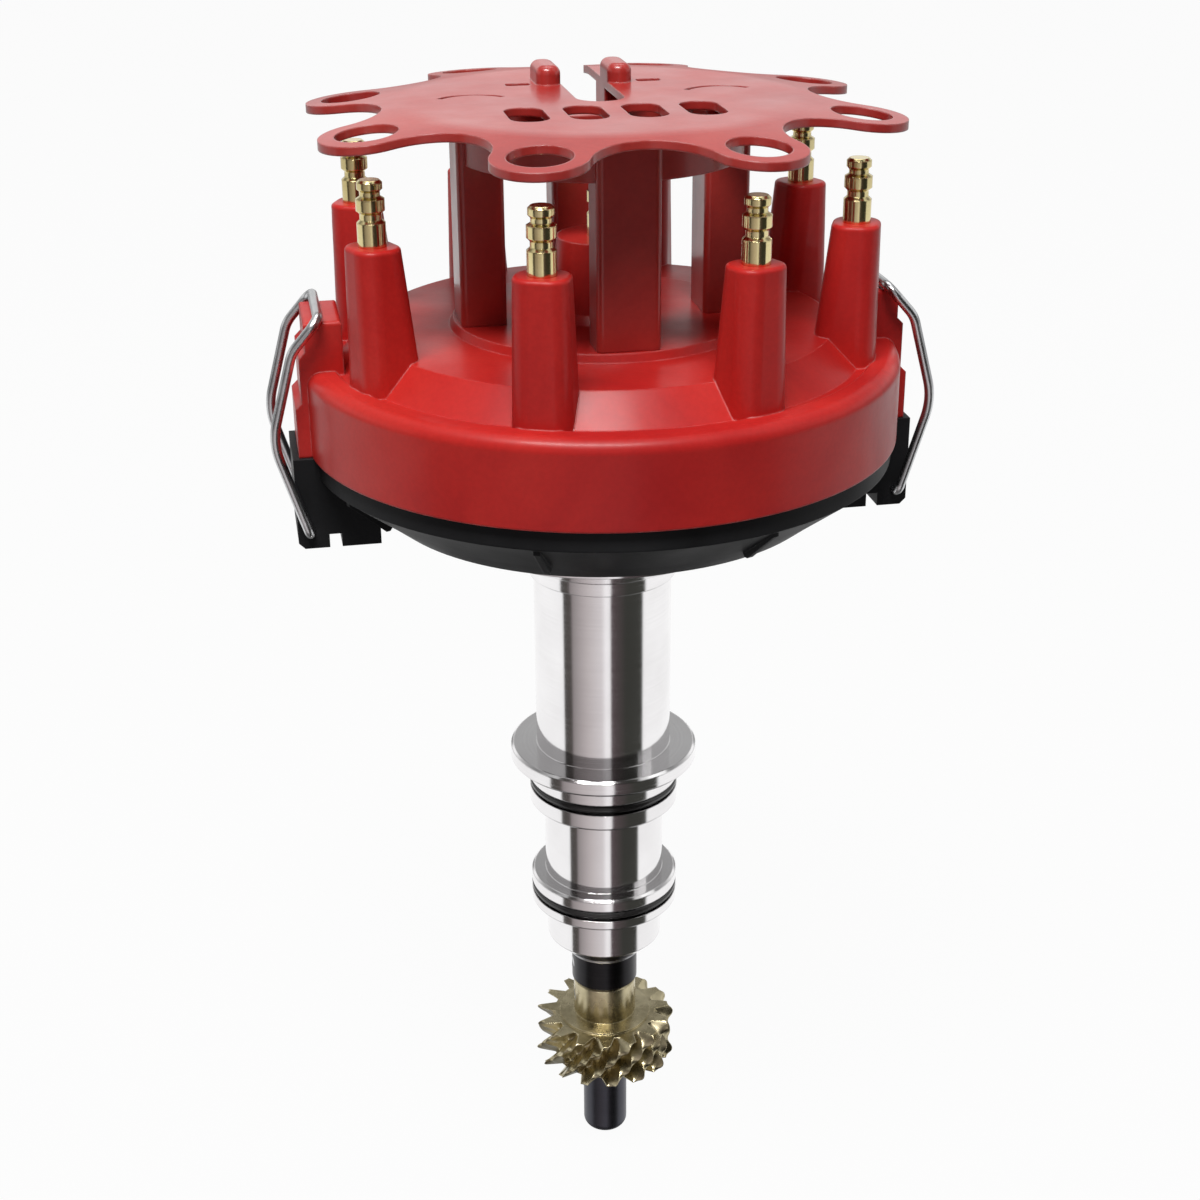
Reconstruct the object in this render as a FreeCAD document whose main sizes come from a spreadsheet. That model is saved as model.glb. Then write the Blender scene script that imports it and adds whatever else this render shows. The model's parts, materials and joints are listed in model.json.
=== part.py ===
"""An ignition distributor with a large eight-tower cap, modelled piece by piece.

The frame: +Z up along the shaft, the origin at the centre of the hold-down flange's seat,
the two latches at +X and -X, the wire retainer's open slot at +Y.
"""
import FreeCAD, Part
import math
import os
import Sketcher
from FreeCAD import Placement, Rotation, Vector

doc = FreeCAD.newDocument("distributor")

SIZES = {
    # cap
    "cap_rim": (93.0, "height of the cap's rim over the flange seat"),
    "cap_radius": (73.0, "outside radius of the cap"),
    "cap_wall": (3.5, "thickness of the cap's wall and roof"),
    "cap_side": (21.0, "height of the cap's side with its rounded shoulder"),
    "shoulder_round": (3.4, "radius of the shoulder's round edge"),
    "shoulder_width": (6.5, "width of the shoulder, from the cap's side to its step"),
    "shoulder_step": (1.0, "drop from the shoulder to the trough"),
    "trough_width": (2.0, "width of the trough inside that step"),
    "slope_width": (7.0, "width of the slope between the trough and the plateau"),
    "plateau_height": (27.0, "height of the plateau over the rim"),
    "crown_radius": (37.0, "radius of the raised disc under the retainer"),
    "crown_step": (2.0, "rise of the raised disc"),
    "tower_count": (8, "number of plug towers"),
    "tower_inset": (12.0, "distance of the terminals inside the cap's side"),
    "tower_lean": (1.8, "how much nearer the axis a tower's foot is than its top"),
    "tower_foot_drop": (8.0, "depth of a tower's foot under the plateau"),
    "tower_height": (53.6, "height of the plug towers over the rim"),
    "tower_foot_depth": (15.4, "radial size of a tower's foot"),
    "tower_foot_width": (13.8, "width of a tower's foot"),
    "tower_top_depth": (11.2, "radial size of a tower's top"),
    "tower_top_width": (12.6, "width of a tower's top"),
    "tower_corner": (4.6, "corner radius of a tower's section"),
    "coil_tower_radius": (12.0, "radius of the coil tower's foot"),
    "coil_tower_top_radius": (10.6, "radius of the coil tower's top"),
    "coil_tower_height": (48.0, "height of the coil tower over the rim"),
    "boss_proud": (2.5, "how far a latch boss stands out of the cap's side"),
    "boss_step": (1.5, "size of each step in a boss's outer face"),
    "boss_depth": (12.0, "radial size of a boss"),
    "boss_width": (20.0, "width of a latch boss"),
    "boss_height": (33.0, "height of a latch boss over the rim"),
    # terminals
    "terminal_radius": (3.25, "radius of a terminal's bands"),
    "terminal_neck": (2.5, "radius of a terminal's grooves and stem"),
    "terminal_knob": (2.9, "radius of a terminal's top knob"),
    "terminal_band": (5.4, "length of a terminal's lower band"),
    "terminal_length": (14.9, "length of a terminal outside its tower"),
    "electrode_radius": (3.2, "radius of an electrode inside the cap"),
    "electrode_foot": (9.0, "height of an electrode's foot over the rim"),
    "electrode_length": (6.4, "length of an electrode"),
    # wire retainer
    "plate_height": (78.4, "height of the plate's underside over the rim, at its middle"),
    "plate_thickness": (2.0, "thickness of the plate"),
    "bend_inset": (17.0, "distance of the plate's bend inside the circle of terminals"),
    "bend_radius": (40.0, "radius of the plate's bend"),
    "lobe_slope": (7.0, "slope of the lobes outside the bend, in degrees"),
    "lobe_radius": (10.75, "radius of a lobe"),
    "lobe_hole_radius": (7.1, "radius of a lobe's hole"),
    "valley_inset": (10.0, "distance of the valleys between lobes inside that circle"),
    "wire_slot_width": (11.5, "width of the open rear slot"),
    "wire_slot_depth": (8.5, "depth of that slot under the plate's top"),
    "vent_width": (9.0, "width of a slot in the plate's front"),
    "vent_length": (18.0, "length of a slot in the plate's front"),
    "vent_pitch": (13.5, "distance between those slots"),
    "vent_near": (10.0, "distance of those slots' near ends from the axis"),
    "skirt_radius": (34.0, "outer radius of the ring under the plate"),
    "skirt_wall": (3.0, "wall of the ring under the plate"),
    "skirt_drop": (11.0, "depth of the ring under the plate"),
    "leg_inner": (24.0, "inner reach of a leg"),
    "leg_depth": (11.0, "radial size of a leg"),
    "leg_width": (15.0, "width of a leg"),
    "curved_slot_radius": (8.4, "inner radius of the curved slot beside a side leg"),
    "curved_slot_width": (1.5, "width of that slot"),
    "curved_slot_spread": (110.0, "angle that it spans about the leg's middle"),
    "lip_height": (4.5, "height of the lips beside the rear slot"),
    "lip_width": (6.0, "thickness of a lip"),
    "lip_round": (2.0, "radius of a lip's upper edge"),
    "lip_inner": (18.0, "distance of a lip's inner end from the axis"),
    "lip_outer": (32.0, "distance of a lip's outer end from the axis"),
    "clip_slot_length": (6.0, "length of a clip slot beside a lip"),
    "clip_slot_width": (3.5, "width of a clip slot"),
    "clip_slot_gap": (1.4, "distance between a lip and its clip slot"),
    # base under the cap
    "base_inset": (1.2, "how far the base's rim lies inside the cap's side"),
    "base_wall": (3.0, "wall of the base"),
    "base_rim_height": (5.0, "height of the base's straight rim"),
    "base_waist_inset": (11.8, "how far the base's waist lies inside its rim"),
    "base_waist_drop": (14.0, "depth of the waist under the rim"),
    "base_foot_inset": (16.8, "how far the base's lower edge lies inside its rim"),
    "base_foot_drop": (18.0, "depth of the lower edge under the rim"),
    "base_floor_drop": (6.0, "depth of the floor's top under the rim"),
    "base_opening": (31.0, "radius of the opening in the floor"),
    "rib_width": (1.6, "width of a rib on the base"),
    "rib_height": (1.6, "height of a rib on the base"),
    "ear_margin": (3.0, "distance from a latch's pivot to its ear's outer face"),
    "ear_width": (22.0, "width of an ear"),
    "ear_drop": (23.0, "depth of an ear under the rim"),
    "ear_depth": (20.0, "radial size of an ear's lower edge"),
    "ear_notch": (3.0, "width of the notch in an ear's lower edge"),
    "ear_notch_depth": (3.4, "depth of that notch"),
    "ear_notch_inset": (6.0, "distance of that notch inside the latch's pivot"),
    # latches
    "wire_radius": (1.2, "radius of the latch wire"),
    "latch_side_gap": (2.2, "distance of a latch's legs outside its ear's sides"),
    "latch_foot_bend": (2.0, "bend radius where a latch enters its ear"),
    "latch_pivot_gap": (2.2, "distance of a latch's pivot outside the base's rim"),
    "latch_pivot_drop": (19.0, "depth of a latch's pivot under the rim"),
    "latch_bulge_reach": (7.5, "distance of a latch's bulge outside its pivot"),
    "latch_bulge_height": (5.5, "height of a latch's bulge over the rim"),
    "latch_neck_reach": (1.6, "distance of a latch's neck outside its pivot"),
    "latch_neck_height": (27.0, "height of a latch's neck over the rim"),
    "latch_top_inset": (6.5, "distance of a latch's crossbar inside the boss's outer face"),
    "latch_gap": (0.3, "gap between a boss's top and the crossbar"),
    "latch_tip": (6.5, "reach of a latch's tip into its ear"),
    "latch_bend": (3.2, "bend radius at a latch's corners"),
    "latch_bow": (17.0, "bend radius of a latch's bowed leg"),
    "latch_stop": (105.0, "how far a latch swings open"),
    "pivot_clearance": (0.08, "radial clearance of a running fit"),
    # housing
    "tube_radius": (17.8, "outer radius of the tube"),
    "tube_bore": (8.0, "radius of the tube's relief bore"),
    "collar_ring_radius": (18.9, "radius of the ring at the tube's top"),
    "collar_ring_height": (54.0, "height of that ring's underside"),
    "collar_ring_length": (3.5, "length of that ring"),
    "bowl_radius": (40.0, "outer radius of the bowl"),
    "bowl_wall": (6.0, "wall of the bowl"),
    "bowl_foot": (68.0, "height where the bowl's side begins"),
    "bowl_floor": (73.0, "height of the bowl's floor"),
    "flange_radius": (24.7, "radius of the hold-down flange"),
    "flange_thickness": (4.5, "thickness of the hold-down flange"),
    "journal_radius": (19.8, "radius of the two lands in the engine's bore"),
    "upper_land_length": (13.0, "length of the upper land"),
    "neck_radius": (16.0, "radius of the neck between the lands"),
    "neck_length": (21.5, "length of the neck"),
    "lower_land_length": (9.5, "length of the lower land"),
    "nose_radius": (15.6, "radius of the nose"),
    "nose_length": (16.0, "length of the nose with its cone"),
    "nose_cone": (5.0, "length of the cone at the nose's end"),
    "nose_tip_radius": (10.6, "radius of the nose's end face"),
    "land_edge": (0.7, "chamfer on the lands and the flange"),
    "seal_groove": (3.0, "width of a seal's groove"),
    "seal_radius": (1.2, "radius of a seal ring's section"),
    "seal_proud": (0.03, "how far a seal stands out of its land"),
    "upper_seal_drop": (6.8, "depth of the upper seal's middle under the seat"),
    "lower_seal_drop": (39.4, "depth of the lower seal's middle under the seat"),
    "grommet_radius": (3.0, "radius of the grommet's waist"),
    "grommet_flange": (4.4, "radius of the grommet's flanges"),
    "grommet_hole": (1.7, "radius of the grommet's hole"),
    "grommet_lip": (1.5, "thickness of the grommet's flanges"),
    "grommet_height": (5.6, "height of the grommet over the bowl's floor"),
    # bearing, bushing and shaft
    "bearing_radius": (17.5, "outer radius of the ball bearing"),
    "bearing_bore": (7.5, "bore radius of the ball bearing"),
    "bearing_width": (11.0, "width of the ball bearing"),
    "bearing_race": (2.5, "thickness of each race"),
    "ball_radius": (3.0, "radius of a ball"),
    "ball_count": (8, "number of balls"),
    "cage_thickness": (1.8, "radial thickness of the balls' cage"),
    "cage_half": (4.0, "half the width of the balls' cage"),
    "ball_clearance": (0.08, "clearance of the balls in their grooves"),
    "snap_ring_thickness": (1.0, "thickness of the bearing's snap ring"),
    "snap_ring_width": (3.7, "radial width of the snap ring"),
    "snap_ring_gap": (6.0, "width of the snap ring's gap"),
    "snap_ring_depth": (1.1, "how deep the snap ring sits in its groove"),
    "shaft_radius": (6.745, "radius of the shaft"),
    "pilot_radius": (6.2, "radius of the pilot at the shaft's lower end"),
    "pilot_length": (25.2, "length of the pilot down to the shaft's tip"),
    "pilot_gap": (1.0, "distance from the gear's lower face down to the pilot"),
    "shaft_tip_round": (2.6, "radius of the round edge at the shaft's tip"),
    "socket_flats": (7.94, "width across the flats of the tip's socket"),
    "socket_depth": (15.0, "depth of the tip's socket"),
    "spindle_radius": (6.5, "radius of the shaft inside the sleeve"),
    "bushing_radius": (9.0, "outer radius of the lower bushing"),
    "bushing_length": (28.0, "length of the lower bushing"),
    "bushing_clearance": (0.04, "radial clearance of the shaft in the bushing"),
    "washer_radius": (10.2, "outer radius of the thrust washer"),
    "washer_thickness": (0.5, "thickness of the thrust washer"),
    "end_play": (0.3, "gap between moving faces along the shaft"),
    # drive end
    "collar_radius": (9.1, "radius of the collar"),
    "collar_length": (9.7, "length of the collar"),
    "gear_gap": (0.5, "gap between the collar and the gear's hub"),
    "gear_hub_radius": (8.7, "radius of the gear's hub"),
    "gear_hub_length": (12.0, "length of the gear's hub"),
    "gear_width": (13.5, "width of the toothed part"),
    "gear_teeth": (15, "number of teeth"),
    "gear_root_radius": (14.2, "radius at the teeth's roots"),
    "gear_tip_radius": (18.2, "radius at the teeth's tips"),
    "gear_sections": (5, "number of sections through the gear's twist"),
    "gear_helix": (45.0, "twist of the teeth over the gear's width, in degrees"),
    "pin_radius": (1.6, "radius of the cross pins"),
    # advance mechanism and rotor
    "sleeve_radius": (10.0, "outer radius of the advance sleeve"),
    "sleeve_clearance": (0.06, "radial clearance of the sleeve on the shaft"),
    "plate_level": (88.5, "height of the advance plate's underside"),
    "advance_plate_radius": (33.0, "radius of the advance plate"),
    "advance_plate_thickness": (2.0, "thickness of the advance plate"),
    "weight_thickness": (4.0, "thickness of a weight"),
    "weight_inner": (13.5, "inner radius of a weight"),
    "weight_outer": (31.5, "outer radius of a weight"),
    "weight_tail": (14.0, "angle of a weight behind its pin"),
    "weight_reach": (48.0, "angle of a weight ahead of its pin"),
    "weight_circle": (26.0, "radius of the circle of pins and posts"),
    "weight_pin_radius": (2.0, "radius of a weight's pin"),
    "clip_radius": (3.6, "radius of a weight pin's clip"),
    "clip_thickness": (0.6, "thickness of a clip"),
    "cam_length": (18.0, "length of the advance cam"),
    "cam_width": (13.0, "width of the advance cam"),
    "cam_bore": (5.0, "radius of the shaft inside the cam"),
    "spring_radius": (1.9, "middle radius of an advance spring"),
    "spring_wire": (0.35, "wire radius of an advance spring"),
    "spring_turns": (9, "turns of an advance spring"),
    "post_radius": (4.0, "radius of a rotor post"),
    "rotor_level": (97.0, "height of the rotor's underside"),
    "rotor_radius": (38.0, "radius of the rotor's disc"),
    "rotor_disc": (3.0, "thickness of the rotor's disc"),
    "rotor_hub_radius": (12.0, "radius of the rotor's hub"),
    "rotor_arm_length": (50.0, "length of the rotor's arm"),
    "rotor_arm_width": (18.0, "width of the rotor's arm"),
    "rotor_arm_height": (4.0, "height of the rotor's arm over its disc"),
    "blade_gap": (0.8, "gap between the rotor's blade and an electrode"),
    "blade_width": (8.0, "width of the rotor's blade"),
    "blade_thickness": (1.5, "thickness of the rotor's blade"),
    "contact_rise": (4.3, "height of the contact spring over the blade"),
    "contact_thickness": (0.5, "thickness of the contact spring"),
    "contact_width": (6.0, "width of the contact spring"),
    "contact_foot": (18.0, "reach of the contact spring's foot along the blade"),
    "contact_bend": (12.0, "distance of the contact spring's bend from the axis"),
    "contact_pad": (3.0, "half the length of the contact spring's flat top"),
    "brush_radius": (3.0, "radius of the carbon brush"),
    "brush_length": (9.7, "length of the carbon brush"),
    "brush_nipple": (3.0, "depth of the brush guide under the cap's roof"),
    "brush_spring_radius": (2.2, "middle radius of the brush's spring"),
    "brush_spring_wire": (0.3, "wire radius of the brush's spring"),
    "brush_spring_length": (8.0, "length of the brush's spring"),
    "brush_spring_turns": (7, "turns of the brush's spring"),
    # reluctor and pickup
    "reluctor_radius": (18.0, "radius of the reluctor's vanes"),
    "reluctor_hub_radius": (14.0, "radius of the reluctor's hub"),
    "reluctor_level": (77.0, "height of the reluctor's underside"),
    "reluctor_height": (6.0, "height of the reluctor"),
    "vane_width": (3.0, "width of a vane"),
    "air_gap": (0.6, "gap between the vanes and the pole piece"),
    "bracket_thickness": (1.5, "thickness of the pickup's bracket"),
    "bracket_width": (22.0, "width of the pickup's bracket"),
    "bracket_wall": (25.0, "distance of the bracket's upright from the axis"),
    "bracket_height": (10.0, "height of the pickup's bracket"),
    "bracket_inner": (20.0, "inner reach of the bracket's foot"),
    "bracket_outer": (31.3, "outer reach of the bracket's foot"),
    "pole_width": (5.0, "width of the pole piece"),
    "pole_height": (4.0, "height of the pole piece"),
    "coil_inner": (19.9, "inner reach of the pickup's coil"),
    "coil_width": (12.0, "width of the pickup's coil"),
    "coil_height": (8.0, "height of the pickup's coil"),
    "magnet_depth": (4.4, "depth of the pickup's magnet"),
    "magnet_width": (8.0, "width of the pickup's magnet"),
    # screws
    "base_screw_count": (4, "number of screws through the base"),
    "base_screw_radius": (2.0, "radius of those screws"),
    "base_screw_head": (3.3, "head radius of those screws"),
    "base_screw_head_height": (2.2, "head height of those screws"),
    "base_screw_depth": (7.0, "how deep those screws go into the bowl"),
    "leg_screw_radius": (1.6, "radius of the retainer's screws"),
    "leg_screw_head": (3.0, "head radius of the retainer's screws"),
    "leg_screw_head_height": (2.4, "head height of the retainer's screws"),
    "leg_screw_depth": (9.0, "how deep the retainer's screws go into its legs"),
    "rim_round": (0.9, "radius of the round rims on the cap"),
    "rotor_screw_radius": (1.9, "radius of the rotor's screws"),
    "rotor_screw_head": (3.6, "head radius of the rotor's screws"),
    "rotor_screw_head_height": (2.4, "head height of the rotor's screws"),
    "pickup_screw_radius": (1.5, "radius of the pickup's screws"),
    "pickup_screw_head": (2.2, "head radius of the pickup's screws"),
    "pickup_screw_head_height": (1.8, "head height of the pickup's screws"),
    "pickup_screw_depth": (5.0, "how deep the pickup's screws go into the bowl"),
    "pickup_screw_reach": (28.9, "distance of the pickup's screws from the axis, rearwards"),
    "pickup_screw_pitch": (16.4, "distance between the pickup's screws"),
}


class Size:
    """A number of the sheet, or one worked out from it, with the formula that gives it."""

    def __init__(self, formula, number):
        self.formula = formula
        self.number = float(number)

    def joined(self, sign, other, number):
        return Size(f"({self.formula} {sign} {other.formula})", number)

    def __add__(self, other):
        other = size_of(other)
        return self.joined("+", other, self.number + other.number)

    def __sub__(self, other):
        other = size_of(other)
        return self.joined("-", other, self.number - other.number)

    def __mul__(self, other):
        other = size_of(other)
        return self.joined("*", other, self.number * other.number)

    def __truediv__(self, other):
        other = size_of(other)
        return self.joined("/", other, self.number / other.number)

    def __radd__(self, other):
        return size_of(other) + self

    def __rsub__(self, other):
        return size_of(other) - self

    def __rmul__(self, other):
        return size_of(other) * self

    def __rtruediv__(self, other):
        return size_of(other) / self

    def __neg__(self):
        return size_of(0) - self


def size_of(value):
    return value if isinstance(value, Size) else Size(f"{float(value)!r}", value)


def cosine(degrees):
    degrees = size_of(degrees)
    return Size(f"cos({degrees.formula})", math.cos(math.radians(degrees.number)))


def sine(degrees):
    degrees = size_of(degrees)
    return Size(f"sin({degrees.formula})", math.sin(math.radians(degrees.number)))


def make_sheet():
    """Writes the driving sizes into the sheet and returns them by name."""
    sheet = doc.addObject("Spreadsheet::Sheet", "Sizes")
    named = {}
    for row, (alias, (number, note)) in enumerate(SIZES.items(), start=1):
        sheet.set(f"A{row}", note)
        sheet.set(f"B{row}", str(number))
        sheet.setAlias(f"B{row}", alias)
        named[alias] = Size(f"Sizes.{alias}", number)
    doc.recompute()
    return named


class Sizes:
    """The sheet's sizes as attributes."""

    def __init__(self, named):
        self.__dict__.update(named)


d = Sizes(make_sheet())
parts = []


def bind(thing, name, value):
    """Binds one property to the sheet."""
    thing.setExpression(name, size_of(value).formula)


def new_body(label, x=0, y=0, z=0, turn=0):
    """A body with its own label, moved to x, y, z and turned about Z by an angle in degrees."""
    body = doc.addObject("PartDesign::Body", label)
    body.Label = label
    body.AllowCompound = True
    body.Placement = Placement(Vector(0, 0, 0), Rotation(Vector(0, 0, 1), size_of(turn).number))
    bind(body, "Placement.Base.x", x)
    bind(body, "Placement.Base.y", y)
    bind(body, "Placement.Base.z", z)
    parts.append(body)
    return body


def origin_part(body, role):
    return next(feature for feature in body.Origin.OriginFeatures if feature.Role == role)


def new_sketch(body, name, plane, height=0, across=0, turn=0):
    """A sketch on one of the body's own planes, raised by height and moved sideways by across.

    The turn is about Z, whichever plane it is.
    """
    sketch = body.newObject("Sketcher::SketchObject", name)
    sketch.AttachmentSupport = [(origin_part(body, plane), "")]
    sketch.MapMode = "FlatFace"
    upright = Vector(0, 0, 1) if plane == "XY_Plane" else Vector(0, 1, 0)
    sketch.AttachmentOffset = Placement(Vector(0, 0, 0), Rotation(upright, size_of(turn).number))
    bind(sketch, "AttachmentOffset.Base.z", height)
    bind(sketch, "AttachmentOffset.Base.x", across)
    return sketch


def point_rules(edge, end, x, y):
    """The rules that tie one end of an edge to its place, each with its size on the sheet."""
    rules = []
    for kind, axis, value in (("DistanceX", -2, size_of(x)), ("DistanceY", -1, size_of(y))):
        if abs(value.number) < 1e-9:
            rules.append((Sketcher.Constraint("PointOnObject", edge, end, axis), None))
        else:
            rules.append((Sketcher.Constraint(kind, -1, 1, edge, end, value.number), value))
    return rules


def add_rules(sketch, rules):
    """Adds rules to a sketch in one step and binds those that have a size."""
    first = sketch.ConstraintCount
    sketch.addConstraint([rule for rule, value in rules])
    for index, (rule, value) in enumerate(rules, start=first):
        if value is not None:
            bind(sketch, f"Constraints[{index}]", value)


def arc_between(start, end, radius):
    """An arc from start to end that turns left, or right with a negative radius."""
    chord = end - start
    middle = (start + end) * 0.5
    left = Vector(-chord.y, chord.x, 0).normalize()
    rise = math.sqrt(max(radius * radius - chord.Length ** 2 / 4, 0))
    centre = middle + left * math.copysign(rise, radius)
    first, last = (start, end) if radius > 0 else (end, start)
    angles = [math.atan2(point.y - centre.y, point.x - centre.x) for point in (first, last)]
    circle = Part.Circle(centre, Vector(0, 0, 1), abs(radius))
    return Part.ArcOfCircle(circle, angles[0], angles[1])


def draw_outline(sketch, points):
    """Draws one closed outline.

    A point is (x, y), or (x, y, radius) when the edge that leaves it is an arc.
    """
    numbers = [Vector(size_of(point[0]).number, size_of(point[1]).number, 0) for point in points]
    first = sketch.GeometryCount
    edges, ends, rules = [], [], []
    for index, point in enumerate(points):
        start, end = numbers[index], numbers[(index + 1) % len(points)]
        radius = size_of(point[2] if len(point) == 3 else 0)
        if radius.number == 0:
            edges.append(Part.LineSegment(start, end))
        else:
            edges.append(arc_between(start, end, radius.number))
            rule = Sketcher.Constraint("Radius", first + index, abs(radius.number))
            rules.append((rule, radius if radius.number > 0 else -radius))
        ends.append((2, 1) if radius.number < 0 else (1, 2))
    sketch.addGeometry(edges)
    for index, point in enumerate(points):
        start, end = ends[index]
        after = (index + 1) % len(points)
        join = Sketcher.Constraint("Coincident", first + index, end, first + after, ends[after][0])
        rules.append((join, None))
        rules += point_rules(first + index, start, point[0], point[1])
    add_rules(sketch, rules)


def draw_circle(sketch, x, y, radius):
    x, y, radius = size_of(x), size_of(y), size_of(radius)
    circle = Part.Circle(Vector(x.number, y.number, 0), Vector(0, 0, 1), radius.number)
    edge = sketch.addGeometry(circle)
    size_rule = (Sketcher.Constraint("Radius", edge, radius.number), radius)
    add_rules(sketch, [size_rule] + point_rules(edge, 3, x, y))


def turned(body, name, points, across=0, turn=0, cut=False):
    """A profile in the XZ plane revolved about a line parallel to Z, which is across from it."""
    sketch = new_sketch(body, f"{name}_profile", "XZ_Plane", across=across, turn=turn)
    draw_outline(sketch, points)
    feature = body.newObject("PartDesign::Groove" if cut else "PartDesign::Revolution", name)
    feature.Profile = sketch
    feature.ReferenceAxis = (sketch, ["V_Axis"])
    feature.Angle = 360
    return feature


def raised(body, name, sketch, length, both=False, reverse=False):
    """A pad from a sketch, or one that reaches half its length to both sides."""
    feature = body.newObject("PartDesign::Pad", name)
    feature.Profile = sketch
    feature.SideType = "Symmetric" if both else "One side"
    feature.Reversed = reverse
    bind(feature, "Length", length)
    return feature


def cut_down(body, name, sketch, length, both=False):
    """A pocket from a sketch, downwards or to both sides."""
    feature = body.newObject("PartDesign::Pocket", name)
    feature.Profile = sketch
    feature.SideType = "Symmetric" if both else "One side"
    bind(feature, "Length", length)
    return feature


def block(body, name, points, low, high, turn=0):
    """A pad of an outline in the XY plane between two heights."""
    sketch = new_sketch(body, f"{name}_outline", "XY_Plane", height=low, turn=turn)
    draw_outline(sketch, points)
    return raised(body, name, sketch, high - low)


def upright_block(body, name, points, width, turn=0):
    """A pad of an outline in the XZ plane, as wide to both sides."""
    sketch = new_sketch(body, f"{name}_outline", "XZ_Plane", turn=turn)
    draw_outline(sketch, points)
    return raised(body, name, sketch, width, both=True)


def drilled(body, name, x, y, radius, top, depth, turn=0):
    """A round hole downwards from a height."""
    sketch = new_sketch(body, f"{name}_circle", "XY_Plane", height=top, turn=turn)
    draw_circle(sketch, x, y, radius)
    return cut_down(body, name, sketch, depth)


def around(body, name, features, count):
    """Repeats features about the body's Z axis."""
    pattern = body.newObject("PartDesign::PolarPattern", name)
    pattern.Originals = features
    pattern.Axis = (origin_part(body, "Z_Axis"), [""])
    pattern.Angle = 360
    bind(pattern, "Occurrences", count)
    body.Tip = pattern
    return pattern


def eased(body, name, kind, size, wanted):
    """A fillet or a chamfer on the edges that a test picks."""
    doc.recompute()
    base = body.Tip
    edges = [f"Edge{index}" for index, edge in enumerate(base.Shape.Edges, start=1) if wanted(edge)]
    feature = body.newObject(f"PartDesign::{kind}", name)
    feature.Base = (base, edges)
    bind(feature, "Radius" if kind == "Fillet" else "Size", size)
    return feature


def box_outline(x_low, x_high, y_low, y_high):
    return [(x_low, y_low), (x_high, y_low), (x_high, y_high), (x_low, y_high)]


def round_box(x, y, depth, width, corner):
    """A rectangle with rounded corners about a middle point."""
    left, right = x - depth / 2, x + depth / 2
    front, back = y - width / 2, y + width / 2
    return [
        (left + corner, front),
        (right - corner, front, corner),
        (right, front + corner),
        (right, back - corner, corner),
        (right - corner, back),
        (left + corner, back, corner),
        (left, back - corner),
        (left, front + corner, corner),
    ]


def ring(label, inner, outer, low, high):
    """A plain ring between two heights."""
    body = new_body(label)
    turned(body, "ring", [(inner, low), (outer, low), (outer, high), (inner, high)])
    return body


def screw_profile(radius, head, head_height, low, seat, down=False):
    """Half the section of a screw whose head lies on its seat, or hangs under it."""
    top = seat - head_height if down else seat + head_height
    return [(0, low), (radius, low), (radius, seat), (head, seat), (head, top), (0, top)]


def cross_pin(label, length, height):
    """A pin through the shaft along X."""
    body = new_body(label)
    sketch = new_sketch(body, "pin_circle", "YZ_Plane")
    draw_circle(sketch, 0, height, d.pin_radius)
    raised(body, "pin", sketch, length, both=True)
    return body


def cross_hole(body, name, height, length):
    sketch = new_sketch(body, f"{name}_circle", "YZ_Plane")
    draw_circle(sketch, 0, height, d.pin_radius)
    return cut_down(body, name, sketch, length, both=True)


# Heights and radii that several pieces share
half_step = 180 / d.tower_count
shoulder_land = d.cap_radius - d.shoulder_width
trough_radius = shoulder_land - d.shoulder_step - d.trough_width
plateau_radius = trough_radius - d.slope_width
tower_circle = d.cap_radius - d.tower_inset
tower_foot_circle = tower_circle - d.tower_lean
boss_outer = d.cap_radius + d.boss_proud
boss_inner = boss_outer - d.boss_depth
base_radius = d.cap_radius - d.base_inset
base_waist_radius = base_radius - d.base_waist_inset
base_foot_radius = base_radius - d.base_foot_inset
pivot_radius = base_radius + d.latch_pivot_gap
ear_outer = pivot_radius + d.ear_margin
ear_inner = ear_outer - d.ear_depth
ear_notch_radius = pivot_radius - d.ear_notch_inset
blade_length = tower_circle - d.electrode_radius - d.blade_gap
plateau = d.cap_rim + d.plateau_height
crown = plateau + d.crown_step
roof_inside = plateau - d.cap_wall
shoulder = d.cap_rim + d.cap_side
trough = shoulder - d.shoulder_step
tower_top = d.cap_rim + d.tower_height
coil_tower_top = d.cap_rim + d.coil_tower_height
boss_top = d.cap_rim + d.boss_height
plate_under = d.cap_rim + d.plate_height
plate_top = plate_under + d.plate_thickness
lobe_reach = tower_circle + d.lobe_radius
base_floor = d.cap_rim - d.base_floor_drop
bowl_rim = base_floor - d.base_wall
bowl_inside = d.bowl_radius - d.bowl_wall
base_screw_circle = d.bowl_radius - d.bowl_wall / 2
pivot_height = d.cap_rim - d.latch_pivot_drop
crossbar_height = boss_top + d.latch_gap + d.wire_radius
bearing_top = d.bowl_floor - 2 * d.snap_ring_thickness
bearing_foot = bearing_top - d.bearing_width
journal_end = -d.upper_land_length
neck_end = journal_end - d.neck_length
land_end = neck_end - d.lower_land_length
nose_end = land_end - d.nose_length
seal_middle_radius = d.journal_radius + d.seal_proud - d.seal_radius
seal_floor = seal_middle_radius - d.seal_radius
bushing_bore = d.shaft_radius + d.bushing_clearance
washer_low = nose_end - d.end_play - d.washer_thickness
collar_low = washer_low - d.collar_length
hub_top = collar_low - d.gear_gap
hub_low = hub_top - d.gear_hub_length
gear_low = hub_low - d.gear_width
pilot_top = gear_low - d.pilot_gap
shaft_tip = pilot_top - d.pilot_length
sleeve_bore = d.spindle_radius + d.sleeve_clearance
sleeve_low = d.bowl_floor + d.end_play * 2
advance_top = d.plate_level + d.advance_plate_thickness
weight_low = advance_top + d.end_play
weight_top = weight_low + d.weight_thickness
disc_top = d.rotor_level + d.rotor_disc
arm_top = disc_top + d.rotor_arm_height
blade_top = arm_top + d.blade_thickness
contact_top = blade_top + d.contact_rise
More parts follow.
